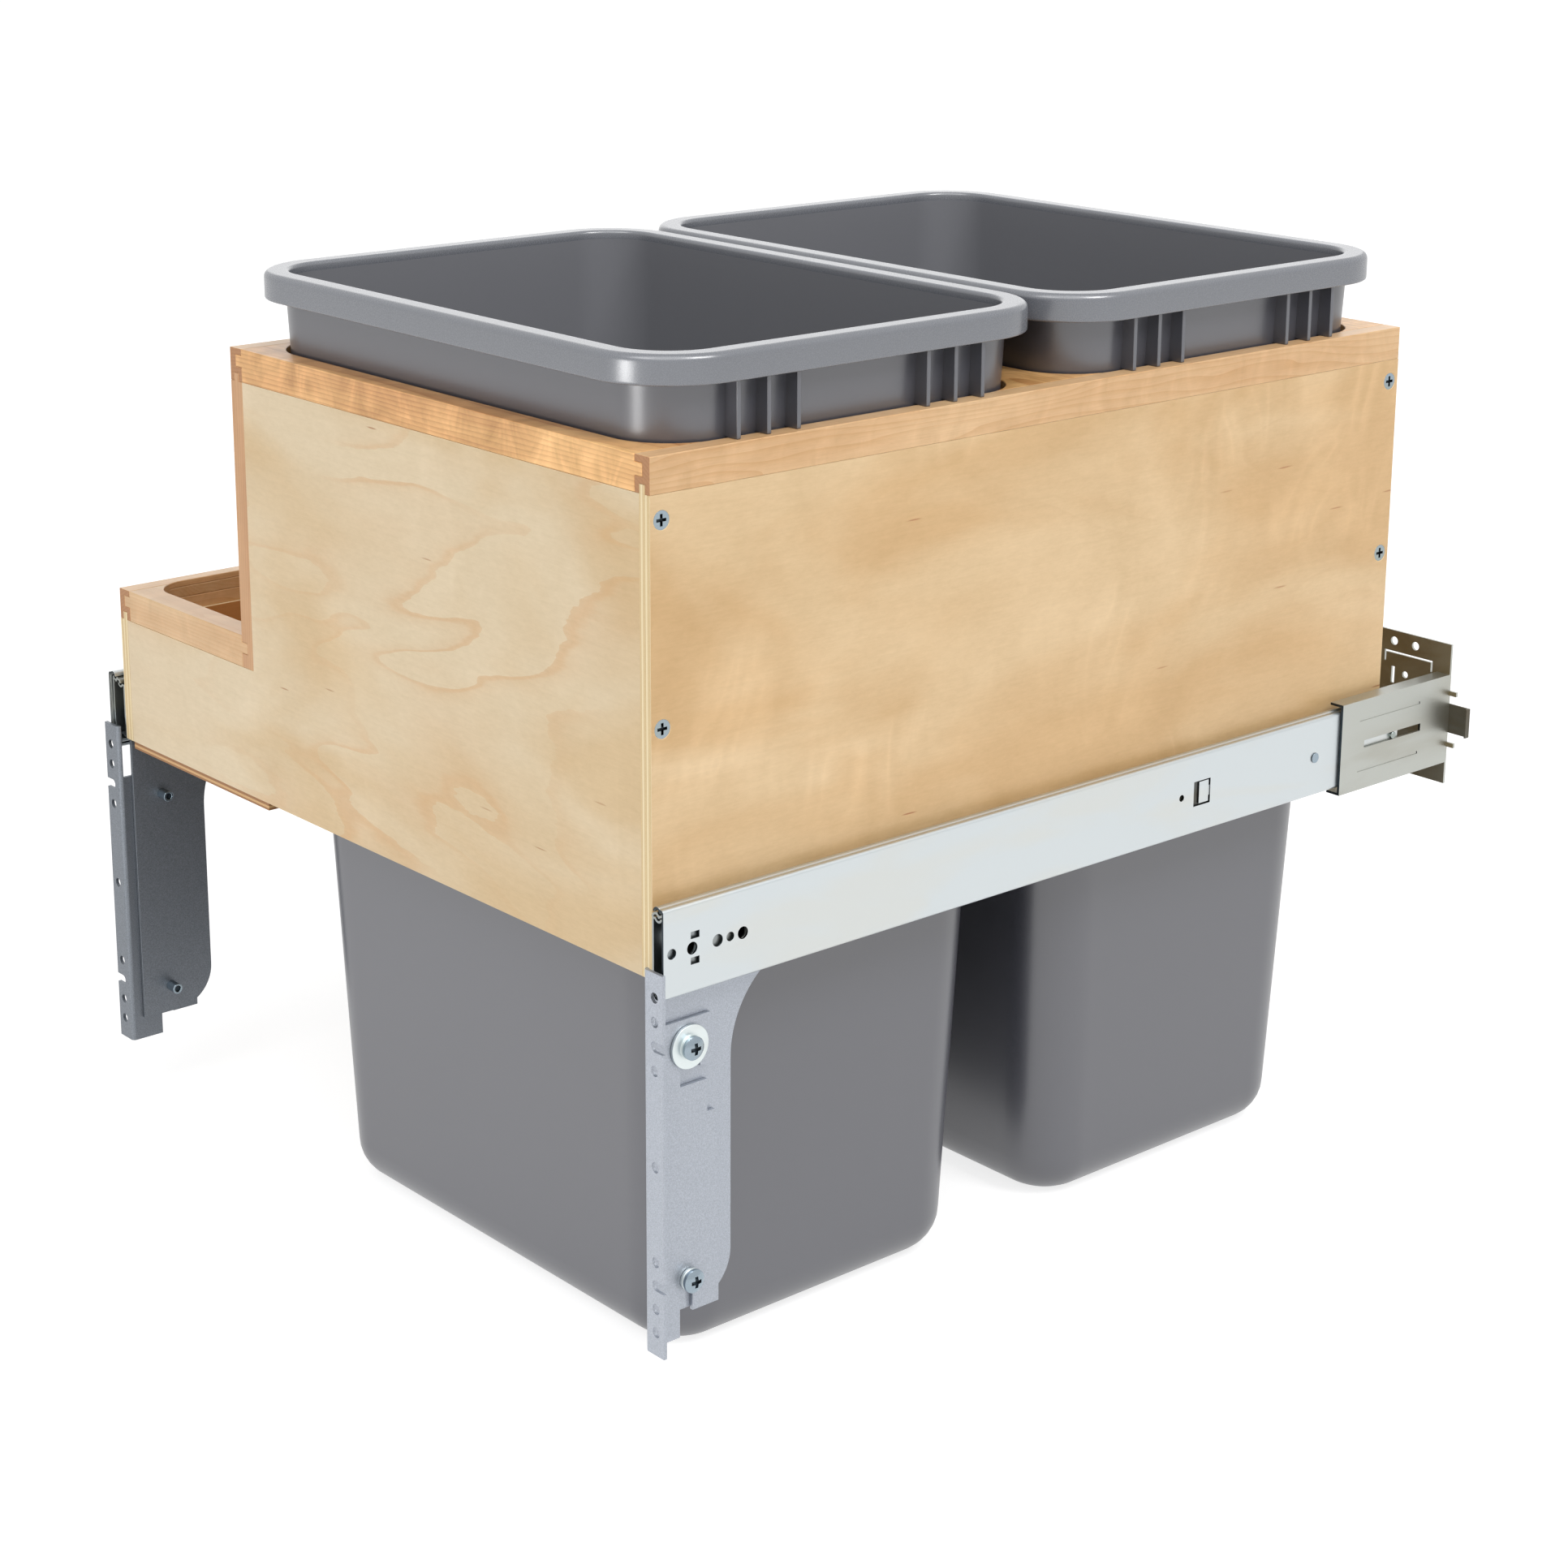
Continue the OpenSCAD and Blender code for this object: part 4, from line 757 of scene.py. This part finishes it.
# %% Rounded rectangle
RIM_W, RIM_D, RIM_R = 0.370, 0.271, 0.045
OVERHANG, WALL, TAPER, TAPER_TOP = 0.0115, 0.0028, 0.0185, 0.5315
FOOT_R, RIM_TOP, SKIRT, SKIRT_T = 0.024, 0.534, 0.015, 0.003


def arc(centre_o, centre_z, radius, start, end, count=7):
    """Points of a circular arc in the profile plane, angles in degrees from outwards to up."""
    t = np.radians(np.linspace(start, end, count))
    return np.stack([centre_o + radius * np.cos(t), centre_z + radius * np.sin(t)], 1)


def lean(z):
    """How far the walls have drawn in at a height: a straight line from the rim to the foot."""
    return TAPER * np.clip((TAPER_TOP - np.maximum(z, FOOT_R)) / (TAPER_TOP - FOOT_R), 0, 1)


def carry_round(profile):
    """Grid of points: each profile point (offset, height) is drawn as a rounded rectangle.

    A point of offset o lies on the rectangle whose half sides are the rim's plus o minus the
    lean at its height, with corners of radius rim radius plus o. Four quarter circles are
    joined by straight sides, which get extra points near their ends.
    """
    o, z = profile[:, 0][:, None, None], profile[:, 1][:, None, None]
    half_w = RIM_W / 2 + o - lean(z)
    half_d = RIM_D / 2 + o - lean(z)
    corner_r = RIM_R + o
    sign_x = np.array([1, -1, -1, 1])[None, :, None]
    sign_y = np.array([1, 1, -1, -1])[None, :, None]
    t = np.linspace(0, np.pi / 2, 17)[None, None, :] + np.arange(4)[None, :, None] * np.pi / 2
    x = sign_x * (half_w - corner_r) + corner_r * np.cos(t)
    y = sign_y * (half_d - corner_r) + corner_r * np.sin(t)
    share = np.array([0.02, 0.08, 0.3, 0.5, 0.7, 0.92, 0.98])[None, None, :]
    next_x, next_y = np.roll(x, -1, axis=1)[:, :, :1], np.roll(y, -1, axis=1)[:, :, :1]
    x = np.concatenate([x, x[:, :, -1:] * (1 - share) + next_x * share], 2)
    y = np.concatenate([y, y[:, :, -1:] * (1 - share) + next_y * share], 2)
    x, y = x.reshape(len(profile), -1), y.reshape(len(profile), -1)
    return np.stack([x, y, np.broadcast_to(profile[:, 1][:, None], x.shape)], 2)


print("draft of a wall in millimetres:", 1000 * TAPER)

# %% Profile of a bin
inner, outer = -OVERHANG - WALL, -OVERHANG
bend = -OVERHANG - FOOT_R
skirt_z = RIM_TOP - SKIRT
inside_up = np.stack([np.full(8, inner), [0.0245, 0.027, 0.08, 0.20, 0.35, 0.48, 0.525, 0.529]], 1)
outside_down = np.stack([np.full(8, outer), [0.5285, 0.524, 0.48, 0.35, 0.20, 0.08, 0.027, 0.0245]], 1)
profile = np.concatenate([
    [[bend - 0.006, WALL], [bend - 0.001, WALL]],
    arc(bend, FOOT_R, FOOT_R - WALL, -90, 0, 9), inside_up,
    arc(inner + 0.002, RIM_TOP - 0.002, 0.002, 180, 90, 5),
    [[inner + 0.0026, RIM_TOP], [-0.0047, RIM_TOP]],
    arc(-0.0041, RIM_TOP - 0.0035, 0.0035, 90, 3, 7),
    [[-0.0005, RIM_TOP - 0.0041], [0, skirt_z + 0.0016]],
    arc(-0.0008, skirt_z + 0.0008, 0.0008, 0, -90, 4),
    arc(-SKIRT_T + 0.0008, skirt_z + 0.0008, 0.0008, -90, -180, 4),
    [[-SKIRT_T, skirt_z + 0.0016], [-SKIRT_T, RIM_TOP - 0.0048]],
    arc(-SKIRT_T - 0.001, RIM_TOP - 0.0045, 0.001, 0, 90, 4),
    arc(outer + 0.001, RIM_TOP - 0.0045, 0.001, 90, 180, 4), outside_down,
    arc(bend, FOOT_R, FOOT_R, 0, -90, 9), [[bend - 0.001, 0.0], [bend - 0.006, 0.0]]])
INSIDE_ROWS = 2 + 9 + len(inside_up) - 1  # bottom, its bend and the inner wall
RIM_ROWS = 5 + 2 + 7 + 2 + 4 + 4  # inner lip, top, roll, skirt and the skirt's lower edge
print("profile of", len(profile), "points:", INSIDE_ROWS, "rows inside,", RIM_ROWS, "on the rim")

# %% Bin skins
BIN_X = 0.069
BIN_Y = {"front": front_face + 0.1385, "rear": front_face + 0.4135}
BIN_FINISHES = (bin_plastic, bin_lining_painted_light, bin_rim)
OUTSIDE_FINISH, PAINTED_LIGHT_LINING, RIM_AND_PAINTED_SHEEN = 0, 1, 2


def bin_piece(name, mesh, which):
    """Link a piece made for a bin: it rides with that bin and stands for its CAD solid."""
    mesh.polygons.foreach_set("use_smooth", np.ones(len(mesh.polygons), dtype=bool))
    for finish in BIN_FINISHES:
        mesh.materials.append(finish)
    piece = linked(name, mesh)
    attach(piece, which + "_bin")
    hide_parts("bin_" + which)
    return piece


def bin_skin(which):
    """Close the carried profile into one mesh: quads between its rows, one cap at each end."""
    grid = carry_round(profile)
    rows, columns = grid.shape[:2]
    points = grid.reshape(-1, 3) + np.array([BIN_X, BIN_Y[which], 0.0])
    i, j = np.meshgrid(np.arange(rows - 1), np.arange(columns), indexing="ij")
    k = (j + 1) % columns
    faces = np.stack([i * columns + k, i * columns + j, (i + 1) * columns + j, (i + 1) * columns + k], 2)
    caps = [np.arange(columns).tolist(), ((rows - 1) * columns + np.arange(columns))[::-1].tolist()]
    mesh = bpy.data.meshes.new("bin_skin_" + which)
    mesh.from_pydata(points.tolist(), [], faces.reshape(-1, 4).tolist() + caps)
    # The inside gets the paler lining, painted light, and the rim its lighter finish, partly painted sheen.
    finish = np.full(rows - 1, OUTSIDE_FINISH)
    finish[:INSIDE_ROWS] = PAINTED_LIGHT_LINING
    finish[INSIDE_ROWS:INSIDE_ROWS + RIM_ROWS] = RIM_AND_PAINTED_SHEEN
    finish = np.append(np.repeat(finish, columns), [PAINTED_LIGHT_LINING, OUTSIDE_FINISH])
    mesh.polygons.foreach_set("material_index", finish.astype(np.int32))
    shell = bmesh.new()
    shell.from_mesh(mesh)
    print("skin of the", which, "bin holds", round(shell.calc_volume(signed=True) * 1e6), "cm3 of plastic")
    shell.free()
    return bin_piece("bin_skin_" + which, mesh, which)


for which in BIN_Y:
    bin_skin(which)

# %% [markdown]
# ## Ribs
# Under the rim, on the two short sides, stand two groups of three thin ribs. They guide the
# bin in its cut-out. Each is a small block whose eight corners come from three sign arrays,
# and a Bevel modifier rounds its edges.

# %% Ribs
RIB_T, RIB_PITCH, RIB_GROUP = 0.0026, 0.019, 0.062
RIB_IN, RIB_OUT, RIB_FOOT, RIB_TALL, RIB_ROUND = 0.1715, 0.1812, 0.490, 0.0425, 0.0005


def bin_ribs(which):
    """Twelve blocks at once: every sign of side, group and place, times the signs of a corner."""
    signs = np.meshgrid([-1, 1], [-1, 1], [-1, 0, 1], indexing="ij")
    side, bunch, step = (a.reshape(-1, 1) for a in signs)
    corners = np.meshgrid([0, 1], [-0.5, 0.5], [0, 1], indexing="ij")
    out, across, high = (a.reshape(1, -1) for a in corners)
    x = side * (RIB_IN + out * (RIB_OUT - RIB_IN))
    y = bunch * RIB_GROUP + step * RIB_PITCH + side * across * RIB_T
    z = np.broadcast_to(RIB_FOOT + high * RIB_TALL, x.shape)
    points = np.stack([x + BIN_X, y + BIN_Y[which], z], 2).reshape(-1, 3)
    block = np.array([[0, 1, 3, 2], [4, 6, 7, 5], [0, 4, 5, 1], [2, 3, 7, 6], [0, 2, 6, 4], [1, 5, 7, 3]])
    faces = (np.arange(12)[:, None, None] * 8 + block[None]).reshape(-1, 4)
    mesh = bpy.data.meshes.new("bin_ribs_" + which)
    mesh.from_pydata(points.tolist(), [], faces.tolist())
    shell = bmesh.new()
    shell.from_mesh(mesh)
    bmesh.ops.recalc_face_normals(shell, faces=shell.faces)
    shell.to_mesh(mesh)
    shell.free()
    piece = bin_piece("bin_ribs_" + which, mesh, which)
    rounding = piece.modifiers.new("eased edges", "BEVEL")
    rounding.width = RIB_ROUND
    rounding.segments = 2
    rounding.harden_normals = True


for which in BIN_Y:
    bin_ribs(which)
print("ribs added")

# %% [markdown]
# ## Floor and light
# The studio is a white sweep: floor and background are white to the camera and in
# reflections, yet the floor keeps the object's soft shadow. The Light Path node tells the
# camera's and the mirror's rays from the light that spreads, so the white costs no extra
# light on the object.

# %% Helpers for the studio
WHITE = (1, 1, 1, 1)
SEEN_GREY, SEEN_GLOW, SPREAD_GREY, FILL = 0.42, 0.78, 0.72, 0.33


def fresh_tree(owner):
    """Give a material or a world an empty node tree."""
    owner.use_nodes = True
    owner.node_tree.nodes.clear()
    return owner.node_tree


def seen_ray(tree):
    """1 for a ray of the camera and for one that a mirror or glass passes on, else 0."""
    path = tree.nodes.new("ShaderNodeLightPath").outputs
    passed_on = math_node(tree, "MAXIMUM", path["Is Glossy Ray"], path["Is Transmission Ray"])
    return math_node(tree, "MAXIMUM", path["Is Camera Ray"], passed_on)


def grey(light):
    """A grey of this much linear light."""
    return (light, light, light, 1)


print("studio helpers ready")

# %% Floor
floor_mesh = bpy.data.meshes.new("floor")
floor_mesh.from_pydata([(-30, -30, 0), (30, -30, 0), (30, 30, 0), (-30, 30, 0)], [], [(0, 1, 2, 3)])
linked("floor", floor_mesh)
sweep = bpy.data.materials.new("white_sweep")
tree = fresh_tree(sweep)
matte = add(tree, "ShaderNodeBsdfDiffuse", {"Color": grey(SEEN_GREY)}).outputs[0]
glow = add(tree, "ShaderNodeEmission", {"Color": WHITE, "Strength": SEEN_GLOW}).outputs[0]
both = add(tree, "ShaderNodeAddShader", {0: matte, 1: glow}).outputs[0]
plain = add(tree, "ShaderNodeBsdfDiffuse", {"Color": grey(SPREAD_GREY)}).outputs[0]
chosen = add(tree, "ShaderNodeMixShader", {0: seen_ray(tree), 1: plain, 2: both}).outputs[0]
add(tree, "ShaderNodeOutputMaterial", {"Surface": chosen})
floor_mesh.materials.append(sweep)
print("floor material:", len(tree.nodes), "nodes")

# %% World
world = bpy.data.worlds.new("studio")
bpy.context.scene.world = world
tree = fresh_tree(world)
white = add(tree, "ShaderNodeBackground", {"Color": WHITE, "Strength": 1.0}).outputs[0]
fill = add(tree, "ShaderNodeBackground", {"Color": WHITE, "Strength": FILL}).outputs[0]
chosen = add(tree, "ShaderNodeMixShader", {0: seen_ray(tree), 1: fill, 2: white}).outputs[0]
add(tree, "ShaderNodeOutputWorld", {"Surface": chosen})
print("world:", len(tree.nodes), "nodes")

# %% [markdown]
# ## Lamps
# The photograph's main light falls on the right side. So the strongest soft box stands there,
# a weaker one lights the front from above, a small low one puts a gleam on the front bin, and
# one behind keeps the far sides open. A wide sun lights all that looks up.

# %% Lamps
MIDDLE = np.array([0, 0, 0.3])


def soft_box(name, azimuth, height, far, wide, tall, watts):
    """A rectangular lamp on a circle round the object, aimed at its middle.

    azimuth is in degrees from the front, and all lengths are in metres.
    """
    lamp = bpy.data.lights.new(name, "AREA")
    lamp.shape, lamp.size, lamp.size_y, lamp.energy = "RECTANGLE", wide, tall, watts
    a = math.radians(azimuth)
    place = np.array([math.sin(a) * far, -math.cos(a) * far, height])
    back = place - MIDDLE
    back /= np.linalg.norm(back)
    right = np.cross([0, 0, 1], back)
    right /= np.linalg.norm(right)
    aim(linked(name, lamp), right, np.cross(back, right), back, place)


soft_box("key", 12, 3.0, 2.6, 1.4, 1.4, 13)
soft_box("side", 95, 3.2, 2.6, 1.4, 1.4, 60)
soft_box("strip", 3, 0.28, 2.1, 0.52, 0.52, 8)
soft_box("behind", 230, 1.0, 3.0, 2.4, 1.6, 9)
sun = bpy.data.lights.new("overhead", "SUN")
sun.energy, sun.angle = 1.2, math.radians(60)
linked("overhead", sun).rotation_euler = (math.radians(22), math.radians(24), 0)
print("lamps ready")
